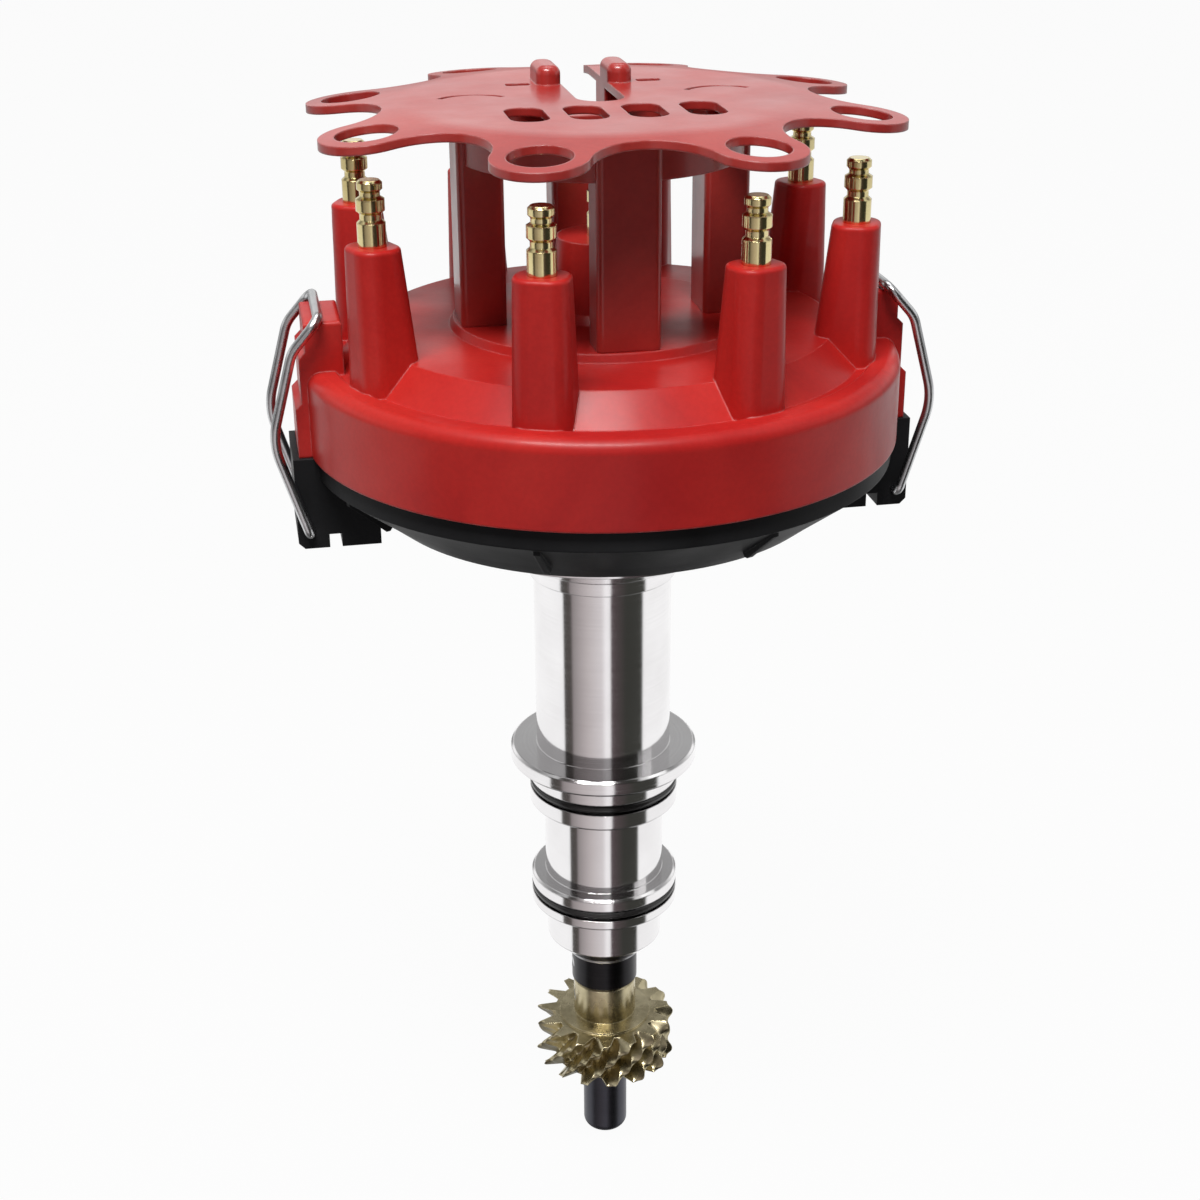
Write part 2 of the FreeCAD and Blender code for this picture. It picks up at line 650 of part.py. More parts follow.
brush_bore = d.brush_radius + d.pivot_clearance
brush_low = contact_top + d.end_play
brush_top = brush_low + d.brush_length
coil_stem_low = brush_top + d.brush_spring_length
leg_middle = d.leg_inner + d.leg_depth / 2
leg_screw_seat = roof_inside
rotor_turn = half_step - 90


def land_with_groove(upper, lower, groove_middle):
    """Points down one land of the housing, with the groove of its seal."""
    groove_top = groove_middle + d.seal_groove / 2
    groove_low = groove_middle - d.seal_groove / 2
    return [
        (d.journal_radius, lower),
        (d.journal_radius, groove_low),
        (seal_floor, groove_low),
        (seal_floor, groove_top),
        (d.journal_radius, groove_top),
        (d.journal_radius, upper),
    ]


def make_housing():
    """Bowl, tube, hold-down flange and the two lands, in one casting."""
    body = new_body("housing")
    ring_top = d.collar_ring_height + d.collar_ring_length
    groove_radius = d.bearing_radius + d.snap_ring_depth
    race_relief = d.bearing_radius - d.bearing_race - d.land_edge
    outside = [
        (d.bushing_radius, nose_end),
        (d.nose_tip_radius, nose_end),
        (d.nose_radius, nose_end + d.nose_cone),
        (d.nose_radius, land_end),
    ]
    outside += land_with_groove(neck_end, land_end, -d.lower_seal_drop)
    outside += [(d.neck_radius, neck_end), (d.neck_radius, journal_end)]
    outside += land_with_groove(0, journal_end, -d.upper_seal_drop)
    outside += [
        (d.flange_radius, 0),
        (d.flange_radius, d.flange_thickness),
        (d.tube_radius, d.flange_thickness),
        (d.tube_radius, d.collar_ring_height),
        (d.collar_ring_radius, d.collar_ring_height),
        (d.collar_ring_radius, ring_top),
        (d.bowl_radius, d.bowl_foot),
        (d.bowl_radius, bowl_rim),
    ]
    inside = [
        (bowl_inside, bowl_rim),
        (bowl_inside, d.bowl_floor),
        (d.bearing_radius, d.bowl_floor),
        (d.bearing_radius, bearing_top + d.snap_ring_thickness),
        (groove_radius, bearing_top + d.snap_ring_thickness),
        (groove_radius, bearing_top),
        (d.bearing_radius, bearing_top),
        (d.bearing_radius, bearing_foot),
        (race_relief, bearing_foot),
        (race_relief, bearing_foot - d.end_play * 2),
        (d.tube_bore, bearing_foot - d.end_play * 2),
        (d.tube_bore, nose_end + d.bushing_length),
        (d.bushing_radius, nose_end + d.bushing_length),
    ]
    turned(body, "casting", outside + inside)
    hole = drilled(body, "base_screw_hole", base_screw_circle, 0, d.base_screw_radius, bowl_rim,
                   d.base_screw_depth, turn=45)
    around(body, "base_screw_holes", [hole], d.base_screw_count)
    for side in (-1, 1):
        drilled(body, f"pickup_screw_hole_{side + 1}", side * d.pickup_screw_pitch / 2,
                d.pickup_screw_reach, d.pickup_screw_radius, d.bowl_floor, d.pickup_screw_depth)
    sketch = new_sketch(body, "lead_circle", "XZ_Plane", height=-(d.bowl_radius + 1))
    draw_circle(sketch, 0, d.bowl_floor + d.grommet_height, d.grommet_radius)
    lead = body.newObject("PartDesign::Pocket", "lead_hole")
    lead.Profile = sketch
    lead.Reversed = True
    bind(lead, "Length", d.bowl_wall + 2)
    outer_radii = (d.journal_radius.number, d.flange_radius.number, d.nose_radius.number)
    heights = (0, land_end.number, neck_end.number, journal_end.number, nose_end.number,
               d.flange_thickness.number)

    def is_outer_edge(edge):
        if not isinstance(edge.Curve, Part.Circle) or edge.Curve.Axis.cross(Vector(0, 0, 1)).Length > 0.01:
            return False
        at_radius = any(abs(edge.Curve.Radius - radius) < 0.01 for radius in outer_radii)
        at_height = any(abs(edge.Curve.Center.z - height) < 0.01 for height in heights)
        inner_corner = abs(edge.Curve.Radius - d.journal_radius.number) < 0.01 and abs(
            edge.Curve.Center.z) < 0.01
        nose_root = abs(edge.Curve.Radius - d.nose_radius.number) < 0.01 and abs(
            edge.Curve.Center.z - land_end.number) < 0.01
        return at_radius and at_height and not inner_corner and not nose_root

    eased(body, "edges", "Chamfer", d.land_edge, is_outer_edge)


def make_base():
    """The black ring that carries the cap on the housing's bowl, with an ear at each side."""
    body = new_body("cap_base")
    rim_low = d.cap_rim - d.base_rim_height
    waist = d.cap_rim - d.base_waist_drop
    foot = d.cap_rim - d.base_foot_drop
    ceiling = base_floor - d.base_wall
    turned(body, "shell", [
        (d.base_opening, ceiling),
        (base_waist_radius + d.base_wall / 2, ceiling),
        (base_waist_radius - d.base_wall, waist),
        (base_foot_radius - d.base_wall, foot),
        (base_foot_radius, foot),
        (base_waist_radius, waist),
        (base_radius, rim_low),
        (base_radius, d.cap_rim),
        (base_radius - d.base_wall, d.cap_rim),
        (base_radius - d.base_wall, rim_low + d.base_wall / 2),
        (base_radius - 2 * d.base_wall, base_floor),
        (d.base_opening, base_floor),
    ])
    ear_foot = d.cap_rim - d.ear_drop
    notch_left = ear_notch_radius - d.ear_notch / 2
    notch_right = ear_notch_radius + d.ear_notch / 2
    wall_middle = base_radius - d.base_wall / 2
    ear = upright_block(body, "ear", [
        (ear_inner, ear_foot),
        (notch_left, ear_foot),
        (notch_left, ear_foot + d.ear_notch_depth),
        (notch_right, ear_foot + d.ear_notch_depth),
        (notch_right, ear_foot),
        (ear_outer - d.base_wall / 2, ear_foot),
        (ear_outer, ear_foot + d.base_wall / 2),
        (ear_outer, d.cap_rim),
        (wall_middle, d.cap_rim),
        (wall_middle, rim_low),
        (ear_inner, waist - 1),
    ], d.ear_width)
    sketch = new_sketch(body, "pivot_circle", "XZ_Plane")
    draw_circle(sketch, pivot_radius, pivot_height, d.wire_radius + d.pivot_clearance)
    pivot = cut_down(body, "pivot_hole", sketch, d.ear_width + 2, both=True)
    around(body, "ears", [ear, pivot], 2)
    rib = upright_block(body, "rib", [
        (base_waist_radius - 1, waist + 1),
        (base_waist_radius - 1 + d.rib_height, waist - d.rib_height / 2),
        (base_waist_radius + d.rib_height, waist - d.rib_height / 2),
        (base_radius - 1, rim_low - d.rib_height),
        (base_radius - 1, rim_low + 1),
        (base_radius - 2, rim_low + 1),
    ], d.rib_width, turn=half_step)
    around(body, "ribs", [rib], d.tower_count)
    hole = drilled(body, "base_screw_hole", base_screw_circle, 0, d.base_screw_radius, base_floor,
                   d.base_wall, turn=45)
    around(body, "base_screw_holes", [hole], d.base_screw_count)


def make_cap():
    """The red cap: a stepped lid with eight towers, a coil tower and two latch bosses."""
    body = new_body("cap")
    inside_radius = d.cap_radius - d.cap_wall
    round_edge = d.shoulder_round
    slope_gap = d.cap_wall * 1.7
    turned(body, "lid", [
        (inside_radius, d.cap_rim),
        (d.cap_radius, d.cap_rim),
        (d.cap_radius, shoulder - round_edge, round_edge),
        (d.cap_radius - round_edge, shoulder),
        (shoulder_land, shoulder),
        (shoulder_land - d.shoulder_step, trough),
        (trough_radius, trough),
        (plateau_radius, plateau),
        (d.crown_radius, plateau),
        (d.crown_radius - d.crown_step / 2, crown),
        (d.coil_tower_radius + d.crown_step, crown),
        (d.coil_tower_radius, crown + d.crown_step),
        (d.coil_tower_top_radius, coil_tower_top),
        (brush_bore, coil_tower_top),
        (brush_bore, roof_inside - d.brush_nipple),
        (brush_bore * 2, roof_inside - d.brush_nipple),
        (brush_bore * 2, roof_inside),
        (plateau_radius - d.cap_wall / 2, roof_inside),
        (trough_radius - d.cap_wall / 2, plateau + plateau_radius - slope_gap - trough_radius
         + d.cap_wall / 2),
        (shoulder_land, trough - d.cap_wall),
        (inside_radius, shoulder - d.cap_wall * 2),
    ])
    step_one = d.cap_rim + d.boss_height * 0.36
    step_two = d.cap_rim + d.boss_height * 0.74
    wall_middle = d.cap_radius - d.cap_wall / 2
    boss = upright_block(body, "boss", [
        (wall_middle, d.cap_rim),
        (boss_outer, d.cap_rim),
        (boss_outer, step_one),
        (boss_outer - d.boss_step, step_one + d.boss_step),
        (boss_outer - d.boss_step, step_two),
        (boss_outer - 2 * d.boss_step, step_two + d.boss_step),
        (boss_outer - 2 * d.boss_step, boss_top),
        (boss_inner, boss_top),
        (boss_inner, trough - d.cap_wall / 2),
        (wall_middle, trough - d.cap_wall / 2),
    ], d.boss_width)
    around(body, "bosses", [boss], 2)
    foot_height = plateau - d.tower_foot_drop
    foot = new_sketch(body, "tower_foot", "XY_Plane", height=foot_height, turn=half_step)
    draw_outline(foot, round_box(tower_foot_circle, 0, d.tower_foot_depth, d.tower_foot_width,
                                 d.tower_corner))
    top = new_sketch(body, "tower_top", "XY_Plane", height=tower_top, turn=half_step)
    draw_outline(top, round_box(tower_circle, 0, d.tower_top_depth, d.tower_top_width,
                                d.tower_corner))
    tower = body.newObject("PartDesign::AdditiveLoft", "tower")
    tower.Profile = foot
    tower.Sections = [top]
    around(body, "towers", [tower], d.tower_count)
    eased(body, "tower_rims", "Fillet", d.rim_round,
          lambda edge: abs(edge.CenterOfMass.z - tower_top.number) < 0.01)
    stem = drilled(body, "stem_hole", tower_circle, 0, d.terminal_neck, tower_top,
                   d.tower_height, turn=half_step)
    around(body, "stem_holes", [stem], d.tower_count)
    hole = drilled(body, "leg_screw_hole", leg_middle, 0, d.leg_screw_radius, crown,
                   crown - roof_inside)
    around(body, "leg_screw_holes", [hole], 4)
    eased(body, "boss_rims", "Fillet", d.rim_round,
          lambda edge: abs(edge.CenterOfMass.z - boss_top.number) < 0.01)


def lobed_outline():
    """The retainer's edge: round lobes about the holes, joined by hollow valleys."""
    valley, lobe = tower_circle - d.valley_inset, d.lobe_radius
    beside = tower_circle * cosine(half_step)
    aside = tower_circle * sine(half_step)
    inset = valley - beside
    hollow = (inset * inset + aside * aside - lobe * lobe) / (2 * (lobe - inset))
    centre = valley + hollow
    share = lobe / (hollow + lobe)
    points = []
    for index in range(int(d.tower_count.number)):
        lobe_turn = half_step * (2 * index + 1)
        lobe_x, lobe_y = tower_circle * cosine(lobe_turn), tower_circle * sine(lobe_turn)
        before, after = half_step * (2 * index), half_step * (2 * index + 2)
        start_x = lobe_x + (centre * cosine(before) - lobe_x) * share
        start_y = lobe_y + (centre * sine(before) - lobe_y) * share
        end_x = lobe_x + (centre * cosine(after) - lobe_x) * share
        end_y = lobe_y + (centre * sine(after) - lobe_y) * share
        points.append((start_x, start_y, lobe))
        points.append((lobe_reach * cosine(lobe_turn), lobe_reach * sine(lobe_turn), lobe))
        points.append((end_x, end_y, -hollow))
    return points


def curved_slot(middle):
    """A slot in the retainer's plate that curves about a leg's middle, on its rear side."""
    inner = d.curved_slot_radius
    outer = inner + d.curved_slot_width
    low = 90 - d.curved_slot_spread / 2
    high = 90 + d.curved_slot_spread / 2
    return [
        (middle + inner * cosine(low), inner * sine(low), inner),
        (middle + inner * cosine(high), inner * sine(high)),
        (middle + outer * cosine(high), outer * sine(high), -outer),
        (middle + outer * cosine(low), outer * sine(low)),
    ]


def make_retainer():
    """The red wire retainer: a crowned, lobed plate on a ring and four legs."""
    body = new_body("wire_retainer")
    bend_start = tower_circle - d.bend_inset
    bend_end = bend_start + d.bend_radius * sine(d.lobe_slope)
    bend_fall = d.bend_radius - d.bend_radius * cosine(d.lobe_slope)
    plate_reach = lobe_reach + 4
    edge_fall = bend_fall + (plate_reach - bend_end) * sine(d.lobe_slope) / cosine(d.lobe_slope)
    turned(body, "plate", [
        (0, plate_under),
        (bend_start, plate_under, -d.bend_radius),
        (bend_end, plate_under - bend_fall),
        (plate_reach, plate_under - edge_fall),
        (plate_reach, plate_top - edge_fall),
        (bend_end, plate_top - bend_fall, d.bend_radius),
        (bend_start, plate_top),
        (0, plate_top),
    ])
    above = plate_top + 1
    through = d.plate_thickness + 1.4
    edge_sketch = new_sketch(body, "edge_outline", "XY_Plane", height=above)
    draw_circle(edge_sketch, 0, 0, plate_reach + 4)
    draw_outline(edge_sketch, lobed_outline())
    cut_down(body, "edge", edge_sketch, through + edge_fall)
    skirt_inner = d.skirt_radius - d.skirt_wall
    turned(body, "skirt", [
        (skirt_inner, plate_under - d.skirt_drop),
        (d.skirt_radius, plate_under - d.skirt_drop),
        (d.skirt_radius, plate_under + d.plate_thickness / 3),
        (skirt_inner, plate_under + d.plate_thickness / 3),
    ])
    leg = block(body, "leg", round_box(leg_middle, 0, d.leg_depth, d.leg_width, 1.5), crown,
                plate_under + d.plate_thickness / 3)
    around(body, "legs", [leg], 4)
    hole = drilled(body, "lobe_hole", tower_circle, 0, d.lobe_hole_radius, above,
                   through + edge_fall, turn=half_step)
    around(body, "lobe_holes", [hole], d.tower_count)
    slot = new_sketch(body, "slot_outline", "XY_Plane", height=above)
    half_slot = d.wire_slot_width / 2
    draw_outline(slot, [
        (-half_slot, 0, half_slot * 1.0001),
        (0, -half_slot, half_slot * 1.0001),
        (half_slot, 0),
        (half_slot, plate_reach),
        (-half_slot, plate_reach),
    ])
    cut_down(body, "slot", slot, d.wire_slot_depth + 1)
    for place in (-1.5, -0.5, 0.5, 1.5):
        vent = new_sketch(body, f"vent_outline_{int(place + 1.5)}", "XY_Plane", height=above)
        draw_outline(vent, round_box(place * d.vent_pitch, -d.vent_near - d.vent_length / 2,
                                     d.vent_width, d.vent_length, d.vent_width / 2 - 0.2))
        cut_down(body, f"vent_{int(place + 1.5)}", vent, through)
    lip_middle = (d.lip_inner + d.lip_outer) / 2
    lip_length = d.lip_outer - d.lip_inner
    clip_middle = half_slot + d.lip_width + d.clip_slot_gap + d.clip_slot_length / 2
    for side in (-1, 1):
        curve = new_sketch(body, f"curved_slot_outline_{side + 1}", "XY_Plane", height=above)
        draw_outline(curve, curved_slot(side * leg_middle))
        cut_down(body, f"curved_slot_{side + 1}", curve, through)
        clip = new_sketch(body, f"clip_slot_outline_{side + 1}", "XY_Plane", height=above)
        draw_outline(clip, round_box(side * clip_middle, lip_middle - lip_length / 4,
                                     d.clip_slot_length, d.clip_slot_width, 1))
        cut_down(body, f"clip_slot_{side + 1}", clip, through)
        outline = round_box(side * (half_slot + d.lip_width / 2), lip_middle, d.lip_width,
                            lip_length, d.lip_width / 2 - 0.2)
        block(body, f"lip_{side + 1}", outline, plate_under + d.plate_thickness / 3,
              plate_top + d.lip_height)
    lip_top = plate_top + d.lip_height
    eased(body, "lip_rims", "Fillet", d.lip_round,
          lambda edge: abs(edge.CenterOfMass.z - lip_top.number) < 0.01)
    hole = drilled(body, "leg_screw_hole", leg_middle, 0, d.leg_screw_radius,
                   crown + d.leg_screw_depth, d.leg_screw_depth)
    around(body, "leg_screw_holes", [hole], 4)


def terminal_outline(foot, radius_below, top, stem):
    """Half the section of a terminal's outside end, above the top of its tower."""
    band = top + d.terminal_band
    end = top + d.terminal_length
    knob = end - 2.6
    return [
        (radius_below, foot),
        (stem, foot),
        (stem, top),
        (d.terminal_radius, top),
        (d.terminal_radius, band),
        (d.terminal_neck, band + 0.7),
        (d.terminal_neck, band + 2),
        (d.terminal_radius, band + 2.7),
        (d.terminal_radius, knob - 1.6),
        (d.terminal_neck * 0.92, knob - 1),
        (d.terminal_neck * 0.92, knob),
        (d.terminal_knob, knob + 0.6),
        (d.terminal_knob, end - 0.6),
        (d.terminal_knob - 0.6, end),
        (0, end),
    ]


def make_terminals():
    """Eight brass plug terminals in their towers, and the one in the coil tower."""
    electrode_low = d.cap_rim + d.electrode_foot
    electrode_top = electrode_low + d.electrode_length
    for index in range(int(d.tower_count.number)):
        turn = half_step * (2 * index + 1) - 90
        body = new_body(f"plug_terminal_{index + 1}", x=tower_circle * cosine(turn),
                        y=tower_circle * sine(turn), turn=turn)
        outside = terminal_outline(electrode_top, d.electrode_radius, tower_top, d.terminal_neck)
        turned(body, "terminal", [
            (0, electrode_low + 0.6),
            (0.6, electrode_low),
            (d.electrode_radius - 0.6, electrode_low),
            (d.electrode_radius, electrode_low + 0.6),
        ] + outside)
    body = new_body("coil_terminal")
    outside = terminal_outline(coil_stem_low, 0, coil_tower_top, brush_bore)
    turned(body, "terminal", outside)


def make_brush():
    """The carbon brush in its guide and the spring that presses it on the rotor."""
    body = new_body("carbon_brush")
    turned(body, "brush", [
        (0, brush_low),
        (d.brush_radius - 0.8, brush_low),
        (d.brush_radius, brush_low + 0.8),
        (d.brush_radius, brush_top),
        (0, brush_top),
    ])
    make_spring("brush_spring", d.brush_spring_radius, d.brush_spring_wire, d.brush_spring_length,
                d.brush_spring_turns, z=brush_top)


def make_spring(label, radius, wire, length, turns, z=0):
    """A coil spring that stands on Z and is as long as its gap, wire included."""
    body = new_body(label, z=z)
    sketch = new_sketch(body, "wire_circle", "XZ_Plane")
    draw_circle(sketch, radius, wire, wire)
    spring = body.newObject("PartDesign::AdditiveHelix", "coil")
    spring.Profile = sketch
    spring.ReferenceAxis = (sketch, ["V_Axis"])
    spring.Mode = "height-turns-angle"
    bind(spring, "Height", length - 2 * wire)
    bind(spring, "Turns", turns)
    return body


def make_rotor():
    """The rotor with its blade and contact spring, on two posts of the advance plate."""
    body = new_body("rotor", turn=rotor_turn)
    turned(body, "disc", [
        (0, d.rotor_level),
        (d.rotor_radius, d.rotor_level),
        (d.rotor_radius, disc_top - 0.8),
        (d.rotor_radius - 0.8, disc_top),
        (d.rotor_hub_radius, disc_top),
        (d.rotor_hub_radius, arm_top),
        (0, arm_top),
    ])
    half_arm = d.rotor_arm_width / 2
    block(body, "arm", box_outline(size_of(0), d.rotor_arm_length, -half_arm, half_arm),
          disc_top - d.rotor_disc / 2, arm_top)
    hole = drilled(body, "screw_hole", 0, d.weight_circle, d.rotor_screw_radius, disc_top,
                   d.rotor_disc)
    around(body, "screw_holes", [hole], 2)
    blade = new_body("rotor_blade", turn=rotor_turn)
    half_blade = d.blade_width / 2
    block(blade, "blade", box_outline(-half_blade, blade_length, -half_blade, half_blade),
          arm_top, blade_top)
    contact = new_body("contact_spring", turn=rotor_turn)
    thick = d.contact_thickness
    upright_block(contact, "leaf", [
        (d.contact_foot, blade_top),
        (d.contact_foot, blade_top + thick),
        (d.contact_bend, blade_top + thick),
        (d.contact_pad, contact_top),
        (-d.contact_pad, contact_top),
        (-d.contact_pad, contact_top - thick),
        (d.contact_pad - thick / 2, contact_top - thick),
        (d.contact_bend - thick / 2, blade_top),
    ], d.contact_width)
    posts = new_body("rotor_posts", turn=rotor_turn)
    post = turned(posts, "post", [
        (d.rotor_screw_radius, advance_top),
        (d.post_radius, advance_top),
        (d.post_radius, d.rotor_level),
        (d.rotor_screw_radius, d.rotor_level),
    ], across=0)
    post.Profile[0].AttachmentOffset = Placement(Vector(0, 0, 0), Rotation(Vector(0, 1, 0), 90))
    bind(post.Profile[0], "AttachmentOffset.Base.z", -d.weight_circle)
    around(posts, "both_posts", [post], 2)
    screws = new_body("rotor_screws", turn=rotor_turn)
    screw = turned(screws, "screw", screw_profile(
        d.rotor_screw_radius, d.rotor_screw_head, d.rotor_screw_head_height, advance_top, disc_top))
    screw.Profile[0].AttachmentOffset = Placement(Vector(0, 0, 0), Rotation(Vector(0, 1, 0), 90))
    bind(screw.Profile[0], "AttachmentOffset.Base.z", -d.weight_circle)
    around(screws, "both_screws", [screw], 2)


def weight_outline():
    """A curved weight about its pin, between two radii."""
    inner, outer = d.weight_inner, d.weight_outer
    tail, reach = -d.weight_tail, d.weight_reach
    return [
        (inner * cosine(tail), inner * sine(tail)),
        (outer * cosine(tail), outer * sine(tail), outer),
        (outer * cosine(reach), outer * sine(reach)),
        (inner * cosine(reach), inner * sine(reach), -inner),
    ]


def make_advance():
    """The centrifugal advance: sleeve, plate, pins, weights, clips, springs and the shaft's cam."""
    ring("advance_sleeve", sleeve_bore, d.sleeve_radius, sleeve_low, advance_top)
    plate = ring("advance_plate", d.sleeve_radius, d.advance_plate_radius, d.plate_level, advance_top)
    plate.Placement.Rotation = Rotation(Vector(0, 0, 1), rotor_turn.number)
    hole = drilled(plate, "pin_hole", d.weight_circle, 0, d.weight_pin_radius, advance_top,
                   d.advance_plate_thickness)
    around(plate, "pin_holes", [hole], 2)
    clip_low = weight_top + d.end_play
    pins = new_body("weight_pins", turn=rotor_turn)
    pin = turned(pins, "pin", [
        (0, d.plate_level),
        (d.weight_pin_radius, d.plate_level),
        (d.weight_pin_radius, clip_low + d.clip_thickness * 1.5),
        (0, clip_low + d.clip_thickness * 1.5),
    ], across=d.weight_circle)
    around(pins, "both_pins", [pin], 2)
    clips = new_body("weight_clips", turn=rotor_turn)
    clip = turned(clips, "clip", [
        (d.weight_pin_radius, clip_low),
        (d.clip_radius, clip_low),
        (d.clip_radius, clip_low + d.clip_thickness),
        (d.weight_pin_radius, clip_low + d.clip_thickness),
    ], across=d.weight_circle)
    around(clips, "both_clips", [clip], 2)
    for index, name in enumerate(("front", "rear")):
        turn = rotor_turn + 180 * index
        weight = new_body(f"weight_{name}", turn=turn)
        block(weight, "weight", weight_outline(), weight_low, weight_top)
        drilled(weight, "pin_hole", d.weight_circle, 0, d.weight_pin_radius + d.pivot_clearance,
                weight_top, d.weight_thickness)
        make_advance_spring(f"advance_spring_{name}", turn)
    cam = new_body("advance_cam", turn=rotor_turn)
    block(cam, "cam", round_box(size_of(0), size_of(0), d.cam_length, d.cam_width, 2),
          weight_low, weight_top)
    drilled(cam, "bore", 0, 0, d.cam_bore, weight_top, d.weight_thickness)


def make_advance_spring(label, turn):
    """A spring from a weight's end to the rotor post ahead of it."""
    reach = d.weight_reach
    start_x, start_y = d.weight_circle * cosine(reach), d.weight_circle * sine(reach)
    span_x, span_y = -start_x, d.weight_circle - start_y
    span = math.hypot(span_x.number, span_y.number)
    along = Vector(span_x.number, span_y.number, 0) * (1 / span)
    margin = 1.3
    length = size_of(span - d.post_radius.number - margin)
    body = make_spring(label, d.spring_radius, d.spring_wire, length, d.spring_turns)
    height = (weight_low.number + weight_top.number) / 2
    start = Vector(start_x.number, start_y.number, height) + along * margin
    about = Rotation(Vector(0, 0, 1), turn.number)
    for axis in "xyz":
        body.setExpression(f"Placement.Base.{axis}", None)
    body.Placement = Placement(about.multVec(start), about * Rotation(Vector(0, 0, 1), along))


def make_reluctor():
    """The eight-vaned reluctor on the advance sleeve."""
    body = ring("reluctor", d.sleeve_radius, d.reluctor_hub_radius, d.reluctor_level,
                d.reluctor_level + d.reluctor_height)
    body.Placement.Rotation = Rotation(Vector(0, 0, 1), rotor_turn.number)
    half_vane = d.vane_width / 2
    vane = block(body, "vane", box_outline(d.reluctor_hub_radius - 1, d.reluctor_radius - 0.2,
                                           -half_vane, half_vane),
                 d.reluctor_level, d.reluctor_level + d.reluctor_height)
    around(body, "vanes", [vane], d.tower_count)


def make_pickup():
    """The magnetic pickup behind the reluctor, on the bowl's floor."""
    floor = d.bowl_floor
    foot_top = floor + d.bracket_thickness
    wall_out = d.bracket_wall + d.bracket_thickness
    middle = d.reluctor_level + d.reluctor_height / 2
    bracket = new_body("pickup_bracket", turn=90)
    upright_block(bracket, "bracket", [
        (d.bracket_inner, floor),
        (d.bracket_outer, floor),
        (d.bracket_outer, foot_top),
        (wall_out, foot_top),
        (wall_out, floor + d.bracket_height),
        (d.bracket_wall, floor + d.bracket_height),
        (d.bracket_wall, foot_top),
        (d.bracket_inner, foot_top),
    ], d.bracket_width)
    for side in (-1, 1):
        drilled(bracket, f"screw_hole_{side + 1}", d.pickup_screw_reach,
                side * d.pickup_screw_pitch / 2, d.pickup_screw_radius, foot_top,
                d.bracket_thickness)
    half_pole = d.pole_width / 2
    pole_low, pole_high = middle - d.pole_height / 2, middle + d.pole_height / 2
    pole = new_body("pickup_pole", turn=90)
    block(pole, "pole", box_outline(d.reluctor_radius + d.air_gap, d.bracket_wall, -half_pole,
                                    half_pole), pole_low, pole_high)
    coil = new_body("pickup_coil", turn=90)
    half_coil = d.coil_width / 2
    coil_low, coil_high = middle - d.coil_height / 2, middle + d.coil_height / 2
    block(coil, "winding", box_outline(d.coil_inner, d.bracket_wall, -half_coil, half_coil),
          coil_low, coil_high)
    window = new_sketch(coil, "window_outline", "XY_Plane", height=pole_high)
    draw_outline(window, box_outline(d.coil_inner - 1, d.bracket_wall + 1, -half_pole, half_pole))
    cut_down(coil, "window", window, d.pole_height)
    magnet = new_body("pickup_magnet", turn=90)
    half_magnet = d.magnet_width / 2
    block(magnet, "magnet", box_outline(wall_out, wall_out + d.magnet_depth, -half_magnet,
                                        half_magnet), foot_top, floor + d.bracket_height)
    screws = new_body("pickup_screws", turn=90)
    for side in (-1, 1):
        screw = turned(screws, f"screw_{side + 1}", screw_profile(
            d.pickup_screw_radius, d.pickup_screw_head, d.pickup_screw_head_height,
            floor - d.pickup_screw_depth, foot_top), across=d.pickup_screw_reach)
        bind(screw.Profile[0], "AttachmentOffset.Base.z", side * d.pickup_screw_pitch / 2)
    grommet = new_body("lead_grommet")
    outer, inner = d.bowl_radius, bowl_inside
    turned(grommet, "grommet", [
        (d.grommet_hole, inner - d.end_play - d.grommet_lip),
        (d.grommet_flange, inner - d.end_play - d.grommet_lip),
        (d.grommet_flange, inner - d.end_play),
        (d.grommet_radius, inner - d.end_play),
        (d.grommet_radius, outer),
        (d.grommet_flange, outer),
        (d.grommet_flange, outer + d.grommet_lip),
        (d.grommet_hole, outer + d.grommet_lip),
    ])
    grommet.Placement = Placement(Vector(0, 0, 0), Rotation(Vector(1, 0, 0), -90))
    bind(grommet, "Placement.Base.z", d.bowl_floor + d.grommet_height)


